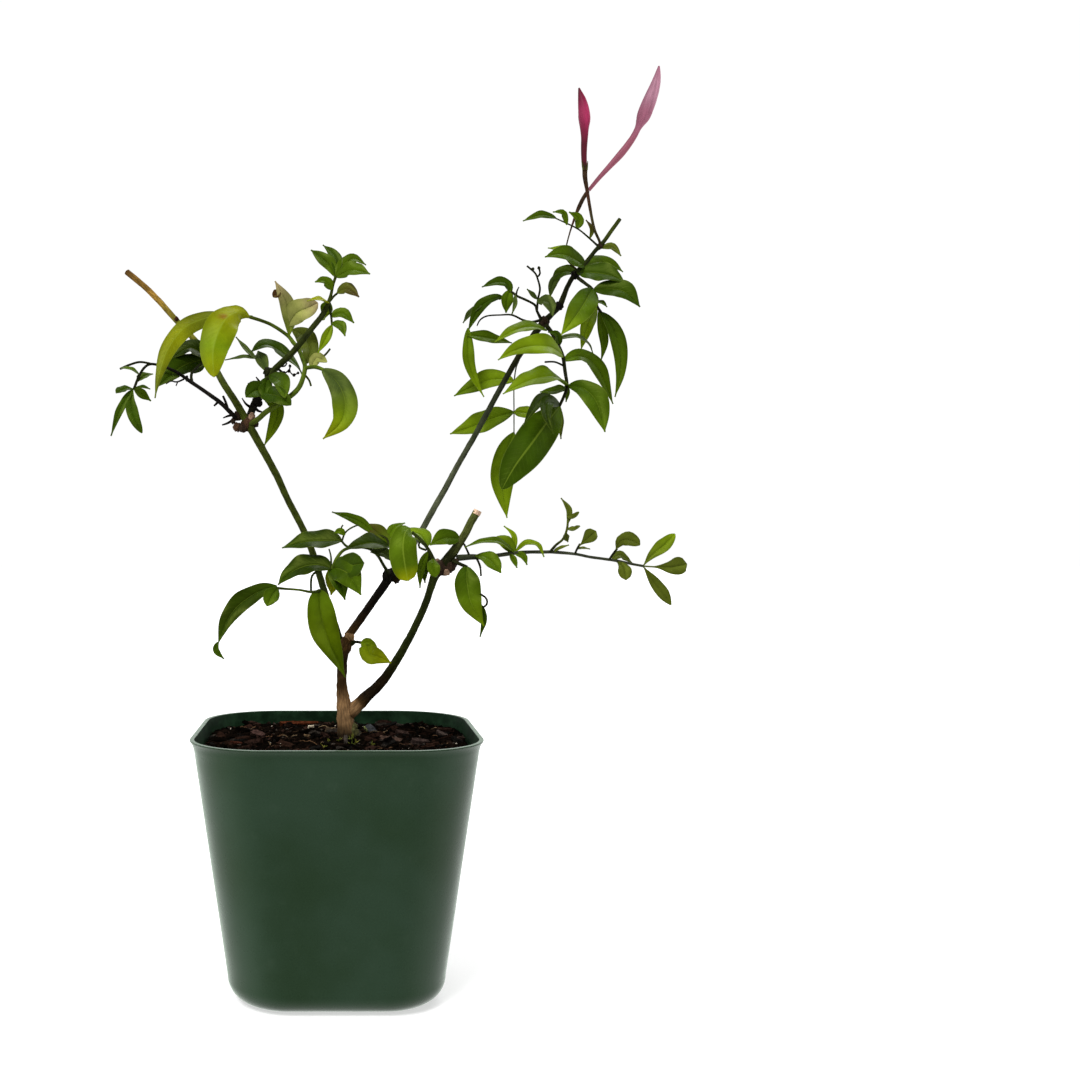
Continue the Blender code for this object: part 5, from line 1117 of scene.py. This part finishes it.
def ground_place(margin):
    """A place on the soil, clear of the pot's wall and of the trunk."""
    foot = at(*TRUNK_FOOT)
    while True:
        x = random.uniform(-RIM_WIDTH, RIM_WIDTH) / 2
        y = random.uniform(-RIM_WIDTH, RIM_WIDTH) / 2
        if inside_pot(x, y, margin) and math.hypot(x - foot.x, y - foot.y) > 3.6 * MM + margin / 2:
            return Vector((x, y, ground_height(x, y)))


def shard(centre, size, tint, tilt, turn):
    """A broken flat piece of bark with its length, width and thickness."""
    shape = bmesh.new()
    bmesh.ops.create_cube(shape, size=2.0)
    bmesh.ops.subdivide_edges(shape, edges=shape.edges, cuts=2, use_grid_fill=True)
    spin = Matrix.Rotation(turn, 3, "Z") @ Matrix.Rotation(tilt[0], 3, "Y") @ Matrix.Rotation(tilt[1], 3, "X")
    points = []
    for vert in shape.verts:
        way = vert.co.copy()
        rough = noise.noise_vector(way * 1.3 + centre * 1700.0) * 0.42
        taper = 1.0 - 0.35 * abs(way.x)
        local = Vector(((way.x + rough.x * 0.6), (way.y * taper + rough.y * 0.7), way.z + rough.z * 0.7))
        points.append(centre + spin @ Vector(local[k] * size[k] / 2 for k in range(3)))
    faces = [tuple(vert.index for vert in face.verts) for face in shape.faces]
    shape.free()
    grains = [tuple(point / MM) for point in points]
    return Form("chips", points, faces, [0] * len(faces), [tint] * len(points), grains)


CHIP_TINTS = (
    (0.0020, 0.0014, 0.0010), (0.0032, 0.0022, 0.0016), (0.0080, 0.0048, 0.0034), (0.0160, 0.0080, 0.0054),
    (0.0060, 0.0054, 0.0048), (0.0190, 0.0100, 0.0074), (0.0024, 0.0018, 0.0015), (0.0320, 0.0260, 0.0210),
)


def chips():
    """Bark chips of all sizes lying in the soil, tilted every way."""
    forms = []
    for count in range(CHIP_COUNT):
        length = CHIP_LENGTH[0] + (CHIP_LENGTH[1] - CHIP_LENGTH[0]) * random.random() ** 3
        place = ground_place(length * 0.5 * MM)
        size = (length * MM, length * random.uniform(0.28, 0.6) * MM, length * random.uniform(0.12, 0.3) * MM)
        tilt = random.uniform(-0.35, 0.35), random.uniform(-0.5, 0.5)
        place.z += random.uniform(-0.3, 0.35) * size[2]
        forms.append(shard(place, size, random.choice(CHIP_TINTS), tilt, random.uniform(0, math.pi)))
    return forms


def grit():
    """Crumbs of peat and a few pale grains."""
    forms = []
    for count in range(GRIT_COUNT):
        size = random.uniform(*GRIT_SIZE) * MM
        place = ground_place(size * 1.5)
        pale = random.random()
        tint = random.choice(CHIP_TINTS)
        if pale > 0.955:
            tint = (0.33, 0.29, 0.23)
            size *= 0.6
        radii = (size * random.uniform(0.6, 1.0), size * random.uniform(0.5, 0.9), size * random.uniform(0.4, 0.8))
        forms.append(lump("chips", place, radii, tint, 0.5, 1, random.uniform(0, math.pi)))
    return forms


def fibres():
    """Loose dry fibres across the soil."""
    forms = []
    for count in range(FIBRE_COUNT):
        start = ground_place(6 * MM)
        turn = random.uniform(0, 2 * math.pi)
        bend = random.uniform(-0.8, 0.8)
        length = random.uniform(3.0, 8.0) * MM
        line = []
        for k in range(9):
            way = turn + bend * k / 8
            x = start.x + math.cos(way) * length * k / 8
            y = start.y + math.sin(way) * length * k / 8
            if not inside_pot(x, y, 1.0 * MM):
                break
            line.append(Vector((x, y, ground_height(x, y) + 0.35 * MM + 0.25 * MM * math.sin(k))))
        if len(line) > 3:
            tint = random.choice(((0.10, 0.055, 0.028), (0.045, 0.026, 0.015), (0.16, 0.11, 0.06)))
            forms.append(tube("chips", line, [0.14 * MM] * len(line), 6, tint, 0.2))
    return forms


# Single pieces that show in the soil: place on the drawing, length, width and height in millimetres,
# tint, tilts and turn in degrees.
SHOWN_CHIPS = (
    ((299, 725, 40), 15.0, 1.8, 1.6, (0.050, 0.014, 0.006), (0, 30, 2)),
    ((311, 731, 22), 2.2, 1.5, 1.5, (0.42, 0.36, 0.26), (0, 0, 10)),
    ((307, 741, 4), 2.6, 1.2, 1.0, (0.20, 0.13, 0.07), (10, 0, 50)),
    ((374, 729, 16), 8.2, 3.0, 1.6, (0.050, 0.052, 0.056), (28, 35, -58)),
    ((368, 722, 22), 3.0, 2.2, 1.4, (0.120, 0.135, 0.050), (20, 30, -50)),
    ((391, 742, -4), 7.5, 3.0, 1.6, (0.045, 0.027, 0.020), (8, 30, -14)),
    ((402, 733, 12), 5.0, 2.0, 1.4, (0.032, 0.020, 0.016), (12, 30, 24)),
    ((442, 733, 10), 4.6, 1.6, 1.2, (0.044, 0.032, 0.027), (18, 20, -38)),
    ((236, 746, -8), 4.0, 1.6, 1.4, (0.040, 0.013, 0.008), (10, 15, 20)),
    ((258, 738, 8), 5.4, 2.8, 1.8, (0.040, 0.022, 0.018), (12, 20, -30)),
    ((330, 731, 20), 5.0, 2.6, 1.8, (0.060, 0.042, 0.026), (14, 15, 65)),
    ((420, 744, -8), 6.0, 2.4, 1.6, (0.030, 0.020, 0.017), (6, 18, 8)),
    ((461, 739, 2), 3.6, 2.0, 1.4, (0.040, 0.026, 0.020), (10, 12, 50)),
    ((358, 738, 4), 5.0, 3.0, 1.8, (0.034, 0.030, 0.020), (16, 22, -80)),
)


def on_ground(across, down, depth):
    """The place of the drawing, let down or lifted to the soil's surface."""
    place = at(across, down, depth)
    return Vector((place.x, place.y, ground_height(place.x, place.y)))


def shown_chips():
    """The larger chips that show at the front, and pale crumbs between them."""
    forms = []
    for place, length, width, height, tint, turns in SHOWN_CHIPS:
        tilt = math.radians(turns[0]), math.radians(turns[1])
        centre = on_ground(*place) + Vector((0.0, 0.0, height * 0.3 * MM))
        size = (length * MM, width * MM, height * MM)
        forms.append(shard(centre, size, tint, tilt, math.radians(turns[2])))
    return forms


def sprouts():
    """Small yellow-green moss shoots at the front of the soil and at the trunk's foot."""
    forms = []
    for across, down, depth in ((325, 748, -16), (328, 744, -10), (352, 747, -14), (356, 744, -8), (372, 748, -16),
                                (339, 742, -6), (350, 732, -2), (353, 729, 0)):
        foot = on_ground(across, down, depth)
        for count in range(5):
            lean = Vector((random.uniform(-1.0, 1.0), random.uniform(-1.0, 0.4), random.uniform(0.6, 1.4)))
            lean = lean.normalized() * random.uniform(1.2, 2.8) * MM
            line = [foot + lean * k / 4 + Vector((0, 0, -0.25 * MM * (k / 4) ** 2)) for k in range(5)]
            tint = random.choice(((0.11, 0.12, 0.02), (0.17, 0.16, 0.03), (0.07, 0.09, 0.015)))
            forms.append(tube("chips", line, [0.28 * MM * (1.1 - k / 4) for k in range(5)], 6, tint, 0.1))
    return forms


def build(name, forms, looks):
    """One mesh object from forms, painted by their tints."""
    points, faces, slots, tints, grains = [], [], [], [], []
    for form in forms:
        base = len(points)
        points += form.points
        faces += [tuple(base + i for i in face) for face in form.faces]
        slots += form.slots
        tints += form.tints
        grains += form.grains
    mesh = bpy.data.meshes.new(name)
    mesh.from_pydata(points, [], faces)
    mesh.polygons.foreach_set("material_index", slots)
    paint = mesh.attributes.new("tint", "FLOAT_COLOR", "POINT")
    paint.data.foreach_set("color", [part for tint in tints for part in (*tint, 1.0)])
    way = mesh.attributes.new("grain", "FLOAT_VECTOR", "POINT")
    way.data.foreach_set("vector", [part for grain in grains for part in grain])
    for look in looks:
        mesh.materials.append(look)
    mesh.update()
    mesh.shade_smooth()
    mesh.set_sharp_from_angle(angle=SHARP_EDGE)
    thing = bpy.data.objects.new(name, mesh)
    bpy.context.scene.collection.objects.link(thing)
    return thing


def new_material(name, **values):
    """A material with constant shader values, and its nodes, links and shader."""
    material = bpy.data.materials.new(name)
    material.use_nodes = True
    shader = material.node_tree.nodes["Principled BSDF"]
    for socket, value in values.items():
        shader.inputs[socket.replace("_", " ")].default_value = value
    return material, shader


def node(material, kind, sockets=(), **settings):
    """A shader node with its settings; sockets pairs an input with a value or another node's output."""
    made = material.node_tree.nodes.new(kind)
    for key, value in settings.items():
        setattr(made, key, value)
    for socket, value in dict(sockets).items():
        if isinstance(value, bpy.types.NodeSocket):
            material.node_tree.links.new(value, made.inputs[socket])
        else:
            made.inputs[socket].default_value = value
    return made


def sum_of(material, operation, a, b=0.0, c=0.0):
    """Output of a Math node."""
    return node(material, "ShaderNodeMath", {0: a, 1: b, 2: c}, operation=operation).outputs[0]


def ramp(material, value, low, high, start=0.0, end=1.0):
    """A value mapped smoothly from low..high to start..end, and held outside."""
    made = node(
        material, "ShaderNodeMapRange", {"Value": value, "From Min": low, "From Max": high, "To Min": start, "To Max": end},
        interpolation_type="SMOOTHSTEP",
    )
    return made.outputs["Result"]


def mixed(material, factor, a, b, blend="MIX"):
    """Output of a colour mix."""
    made = node(material, "ShaderNodeMix", {0: factor}, data_type="RGBA", blend_type=blend)
    for socket, value in ((6, a), (7, b)):
        if isinstance(value, bpy.types.NodeSocket):
            material.node_tree.links.new(value, made.inputs[socket])
        else:
            made.inputs[socket].default_value = (*value, 1.0)
    return made.outputs[2]


def spots(material, scale, detail=3.0, vector=None, rough=0.55):
    """Output of a noise texture in object space or along a vector."""
    sockets = {"Scale": scale, "Detail": detail, "Roughness": rough}
    if vector is None:
        vector = node(material, "ShaderNodeTexCoord").outputs["Object"]
    sockets["Vector"] = vector
    return node(material, "ShaderNodeTexNoise", sockets).outputs["Fac"]


def scaled(material, colour, value):
    """A colour made brighter or darker by a value."""
    made = node(material, "ShaderNodeVectorMath", {0: colour, 3: value}, operation="SCALE")
    return made.outputs[0]


def bump(material, shader, height, distance, strength=1.0):
    """Relief on the shader's normal, with its depth in metres."""
    made = node(material, "ShaderNodeBump", {"Height": height, "Distance": distance, "Strength": strength})
    material.node_tree.links.new(made.outputs[0], shader.inputs["Normal"])


def join(material, output, shader, socket):
    """Links an output to a socket of the shader."""
    material.node_tree.links.new(output, shader.inputs[socket])


def leaf_look(name, light, veins, roughness, gloss):
    """A leaf's skin: its tint with soft clouds, faint veins, a thin pale rim painted along its margin for the white
    surroundings' light round the edge, and fine relief.
    """
    material, shader = new_material(name, Roughness=roughness, Specular_IOR_Level=gloss)
    shader.inputs["Specular Tint"].default_value = (*GLOSS_TINT, 1.0)
    tint = node(material, "ShaderNodeAttribute", attribute_name="tint").outputs["Color"]
    grain = node(material, "ShaderNodeAttribute", attribute_name="grain").outputs["Vector"]
    parts = node(material, "ShaderNodeSeparateXYZ", {0: grain}).outputs
    edge = sum_of(material, "ABSOLUTE", parts[0])
    clouds = spots(material, 130.0, 2.0)
    fine = spots(material, 1300.0, 2.0)
    shade = sum_of(material, "ADD", ramp(material, clouds, 0.3, 0.7, 0.82 * light, 1.14 * light),
                   ramp(material, fine, 0.3, 0.7, -0.035, 0.035))
    shade = sum_of(material, "MULTIPLY", shade, ramp(material, edge, 0.45, 1.0, 1.0, 0.8))
    base = scaled(material, tint, shade)
    saw = sum_of(material, "PINGPONG", parts[1], 0.5)
    side_vein = sum_of(material, "MULTIPLY", ramp(material, saw, 0.11, 0.0), ramp(material, edge, 0.92, 0.4))
    middle_vein = ramp(material, edge, 0.075, 0.02)
    vein = sum_of(material, "MAXIMUM", sum_of(material, "MULTIPLY", side_vein, 0.12), middle_vein)
    with_veins = mixed(material, sum_of(material, "MULTIPLY", vein, veins), base, VEIN)
    # Painted light: a thin pale rim along the leaf's edge, standing in for the white surroundings' light round it.
    margin = ramp(material, edge, 0.94, 1.0, 0.0, 0.22)
    join(material, mixed(material, margin, with_veins, VEIN), shader, "Base Color")
    relief = sum_of(material, "SUBTRACT", sum_of(material, "MULTIPLY", fine, 0.4), side_vein)
    bump(material, shader, relief, 0.06 * MM, 0.5)
    return material


def wood_look():
    """Bark and twigs: their tint with streaks along the grain, patches and pale flecks."""
    material, shader = new_material("wood", Specular_IOR_Level=0.04)
    tint = node(material, "ShaderNodeAttribute", attribute_name="tint").outputs["Color"]
    grain = node(material, "ShaderNodeAttribute", attribute_name="grain").outputs["Vector"]
    stretched = node(material, "ShaderNodeVectorMath", {0: grain, 1: (1.0, 1.0, 0.22)}, operation="MULTIPLY")
    streaks = spots(material, 1.6, 5.0, stretched.outputs[0], 0.7)
    patches = spots(material, 170.0, 4.0)
    flecks = spots(material, 950.0, 2.0)
    shade = sum_of(material, "MULTIPLY", ramp(material, streaks, 0.3, 0.72, 0.5, 1.5),
                   ramp(material, patches, 0.3, 0.7, 0.75, 1.3))
    base = scaled(material, tint, shade)
    pale = mixed(material, ramp(material, flecks, 0.62, 0.74, 0.0, 0.2), base, (0.12, 0.11, 0.05))
    join(material, pale, shader, "Base Color")
    join(material, ramp(material, streaks, 0.3, 0.7, 0.5, 0.85), shader, "Roughness")
    bump(material, shader, sum_of(material, "ADD", streaks, sum_of(material, "MULTIPLY", flecks, 0.4)), 0.35 * MM, 0.9)
    return material


def petal_look():
    """Closed petals: their tint with fine lengthwise streaks and a soft sheen."""
    material, shader = new_material("petals", Roughness=0.5, Specular_IOR_Level=0.14)
    tint = node(material, "ShaderNodeAttribute", attribute_name="tint").outputs["Color"]
    grain = node(material, "ShaderNodeAttribute", attribute_name="grain").outputs["Vector"]
    stretched = node(material, "ShaderNodeVectorMath", {0: grain, 1: (3.0, 3.0, 0.12)}, operation="MULTIPLY")
    streaks = spots(material, 1.5, 4.0, stretched.outputs[0], 0.6)
    base = scaled(material, tint, ramp(material, streaks, 0.3, 0.7, 0.86, 1.15))
    join(material, base, shader, "Base Color")
    return material


def plastic():
    """Moulded dark green plastic with faint mottling, a fine grain and slight scuffs."""
    material, shader = new_material("green_plastic", Specular_IOR_Level=0.2, Sheen_Weight=0.36, Sheen_Roughness=0.3)
    shader.inputs["Specular Tint"].default_value = (0.66, 0.95, 0.66, 1.0)
    shader.inputs["Sheen Tint"].default_value = (0.62, 0.95, 0.66, 1.0)
    clouds = spots(material, 26.0, 3.0)
    fine = spots(material, 1900.0, 2.0)
    scuffs = spots(material, 140.0, 6.0, rough=0.7)
    base = mixed(material, ramp(material, clouds, 0.3, 0.7), (0.0170, 0.0355, 0.0165), (0.0240, 0.0465, 0.0272))
    dusty = mixed(material, ramp(material, scuffs, 0.55, 0.8, 0.0, 0.06), base, (0.11, 0.15, 0.11))
    join(material, dusty, shader, "Base Color")
    join(material, ramp(material, scuffs, 0.3, 0.75, 0.24, 0.34), shader, "Roughness")
    bump(material, shader, fine, 0.02 * MM, 0.15)
    return material


def inner_plastic():
    """The pot's inner side: the same plastic, painted much darker for the shade inside the pot, in mottled patches."""
    material, shader = new_material("shaded_inner_plastic", Roughness=0.4, Specular_IOR_Level=0.06)
    shader.inputs["Specular Tint"].default_value = (0.5, 0.9, 0.55, 1.0)
    shade_patches = spots(material, 90.0, 5.0, rough=0.65)
    # Painted shade: both colours are far darker than the outer plastic, standing for the shade inside the pot.
    base = mixed(material, ramp(material, shade_patches, 0.35, 0.68), (0.0022, 0.0080, 0.0030), (0.0120, 0.0330, 0.0150))
    join(material, base, shader, "Base Color")
    return material


def earth():
    """Damp peat: nearly black, with brown crumbs."""
    material, shader = new_material("damp_peat", Roughness=0.85, Specular_IOR_Level=0.0)
    crumbs = spots(material, 620.0, 6.0, rough=0.7)
    patches = spots(material, 120.0, 3.0)
    base = mixed(material, ramp(material, crumbs, 0.42, 0.68), (0.0010, 0.0008, 0.0006), (0.010, 0.006, 0.004))
    tinted = mixed(material, ramp(material, patches, 0.4, 0.7, 0.0, 0.6), base, (0.003, 0.0022, 0.0017))
    join(material, tinted, shader, "Base Color")
    bump(material, shader, crumbs, 0.9 * MM)
    return material


def chip_look():
    """Bark chips and crumbs: their tint with grain and pale worn spots."""
    material, shader = new_material("bark_chips", Roughness=0.8, Specular_IOR_Level=0.0)
    tint = node(material, "ShaderNodeAttribute", attribute_name="tint").outputs["Color"]
    grain = spots(material, 780.0, 5.0, rough=0.7)
    base = scaled(material, tint, ramp(material, grain, 0.32, 0.7, 0.45, 1.7))
    join(material, base, shader, "Base Color")
    bump(material, shader, grain, 0.5 * MM)
    return material


def floor_look():
    """Plain pale floor."""
    material, shader = new_material("pale_floor", Roughness=1.0, Specular_IOR_Level=0.0, Emission_Strength=0.55)
    shader.inputs["Base Color"].default_value = (0.6, 0.6, 0.6, 1.0)
    shader.inputs["Emission Color"].default_value = (1.0, 1.0, 1.0, 1.0)
    return material


def camera():
    """The camera at the drawing's viewpoint, square to the pot, with the frame moved over to the right."""
    data = bpy.data.cameras.new("camera")
    data.sensor_width = SENSOR
    data.lens = SENSOR * VIEW_LENGTH / DRAWING_WIDTH
    data.shift_x = 0.5 - VIEW_MIDDLE[0] / DRAWING_WIDTH
    data.shift_y = VIEW_MIDDLE[1] / DRAWING_WIDTH - 0.5
    data.clip_start = 0.01
    data.clip_end = 30.0
    thing = bpy.data.objects.new("camera", data)
    thing.location = EYE
    thing.rotation_euler = (math.radians(90), 0.0, 0.0)
    bpy.context.scene.collection.objects.link(thing)
    bpy.context.scene.camera = thing


def sun(name, strength, spread, azimuth, height, colour=(1.0, 1.0, 1.0)):
    """A soft sun from a side: azimuth 0 is in front and 90 on the right, in degrees."""
    data = bpy.data.lights.new(name, "SUN")
    data.energy = strength
    data.angle = math.radians(spread)
    data.color = colour
    thing = bpy.data.objects.new(name, data)
    turn, lift = math.radians(azimuth), math.radians(height)
    way = Vector((math.sin(turn) * math.cos(lift), -math.cos(turn) * math.cos(lift), math.sin(lift)))
    thing.rotation_euler = way.to_track_quat("Z", "Y").to_euler()
    bpy.context.scene.collection.objects.link(thing)


def surroundings():
    """Even white round the horizon, dim above it, and bright on the ground at the sides and behind."""
    world = bpy.data.worlds.new("studio")
    world.use_nodes = True
    light = world.node_tree.nodes["Background"]
    light.inputs["Color"].default_value = (1.0, 1.0, 1.0, 1.0)
    way = node(world, "ShaderNodeTexCoord").outputs["Generated"]
    parts = node(world, "ShaderNodeSeparateXYZ", {0: way}).outputs
    band = sum_of(world, "MULTIPLY", ramp(world, parts[2], -0.22, -0.12), ramp(world, parts[2], 0.6, 0.44))
    behind = sum_of(world, "MULTIPLY", ramp(world, parts[1], -0.85, -0.2), ramp(world, parts[2], 0.0, -0.1))
    rest = sum_of(world, "ADD", sum_of(world, "MULTIPLY", behind, SIDE_LIGHT), HALL_LIGHT)
    power = node(world, "ShaderNodeMix", {0: band, 2: rest, 3: 1.02}, data_type="FLOAT").outputs[0]
    world.node_tree.links.new(power, light.inputs["Strength"])
    bpy.context.scene.world = world


def studio():
    """Pale floor, white surroundings and two soft suns."""
    surroundings()
    bpy.context.scene.view_settings.view_transform = "Standard"
    sun("key_light", 2.9, 24, -32, 52)
    sun("back_light", 1.6, 50, 150, 60)
    mesh = bpy.data.meshes.new("floor")
    reach = 12.0
    mesh.from_pydata([(-reach, -reach, 0), (reach, -reach, 0), (reach, reach, 0), (-reach, reach, 0)], [], [(0, 1, 2, 3)])
    mesh.materials.append(floor_look())
    floor = bpy.data.objects.new("floor", mesh)
    floor.location.z = -0.0004
    floor.visible_diffuse = False
    floor.visible_glossy = False
    bpy.context.scene.collection.objects.link(floor)


def flat(parts):
    """One row of forms from a list that holds forms and lists of them."""
    forms = []
    for part in parts:
        forms += [part] if isinstance(part, Form) else part
    return forms


# Every leafy or woody piece with the slots of its leaves and of its wood.
PIECES = (
    (trunk, "leaf", "bark"),
    (left_stem, "leaf", "green_stem"),
    (right_stem, "leaf", "green_stem"),
    (right_arm, "leaf", "green_stem"),
    (trunk_leaf, "leaf", "green_stem"),
    (left_low_spray, "leaf", "green_stem"),
    (left_yellow_spray, "olive_leaf", "green_stem"),
    (left_upper_spray, "leaf", "green_stem"),
    (low_left_spray, "leaf", "green_stem"),
    (low_right_spray, "leaf", "green_stem"),
    (stub_leaf, "leaf", "green_stem"),
    (trailing_branch, "olive_leaf", "green_stem"),
    (hanging_leaf, "leaf", "green_stem"),
    (upper_left_spray, "leaf", "green_stem"),
    (upper_middle_spray, "leaf", "green_stem"),
    (upper_hanging_leaf, "leaf", "green_stem"),
    (top_shoot, "leaf", "green_stem"),
    (upper_right_spray, "leaf", "green_stem"),
    (left_bud_stalk, "leaf", "stalk"),
    (right_bud_stalk, "leaf", "stalk"),
)


def place_piece(thing, node_name):
    """Rides a fine piece on the plant's body, in place of its solid."""
    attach(thing, "root")
    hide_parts(node_name)


camera()
studio()
LEAF_LOOKS = (
    leaf_look("leaf_upper", 1.0, 0.34, 0.4, 0.14),
    leaf_look("leaf_lower", 1.15, 0.3, 0.6, 0.15),
    leaf_look("leaf_rib", 1.1, 0.0, 0.5, 0.25),
)
WOOD = wood_look()
PETALS = petal_look()
CHIPS = chip_look()
place_piece(pot(), "pot")
place_piece(soil(), "soil")
for name, forms in (("soil_chips", chips() + shown_chips()), ("soil_crumbs", grit() + fibres() + sprouts())):
    place_piece(build(name, forms, [CHIPS]), "soil")
for piece, leaf_slot, wood_slot in PIECES:
    forms = flat(piece())
    for group, looks, slot in (("leaves", LEAF_LOOKS, leaf_slot), ("twigs", [WOOD], wood_slot)):
        chosen = [form for form in forms if form.group == group]
        if chosen:
            place_piece(build(piece.__name__ + "_" + group, chosen, looks), piece.__name__)
for piece, slot in ((left_bud, "bud_magenta"), (right_bud, "bud_pink")):
    place_piece(build(piece.__name__ + "_petals", flat(piece()), [PETALS]), piece.__name__)

bpy.context.view_layer.update()
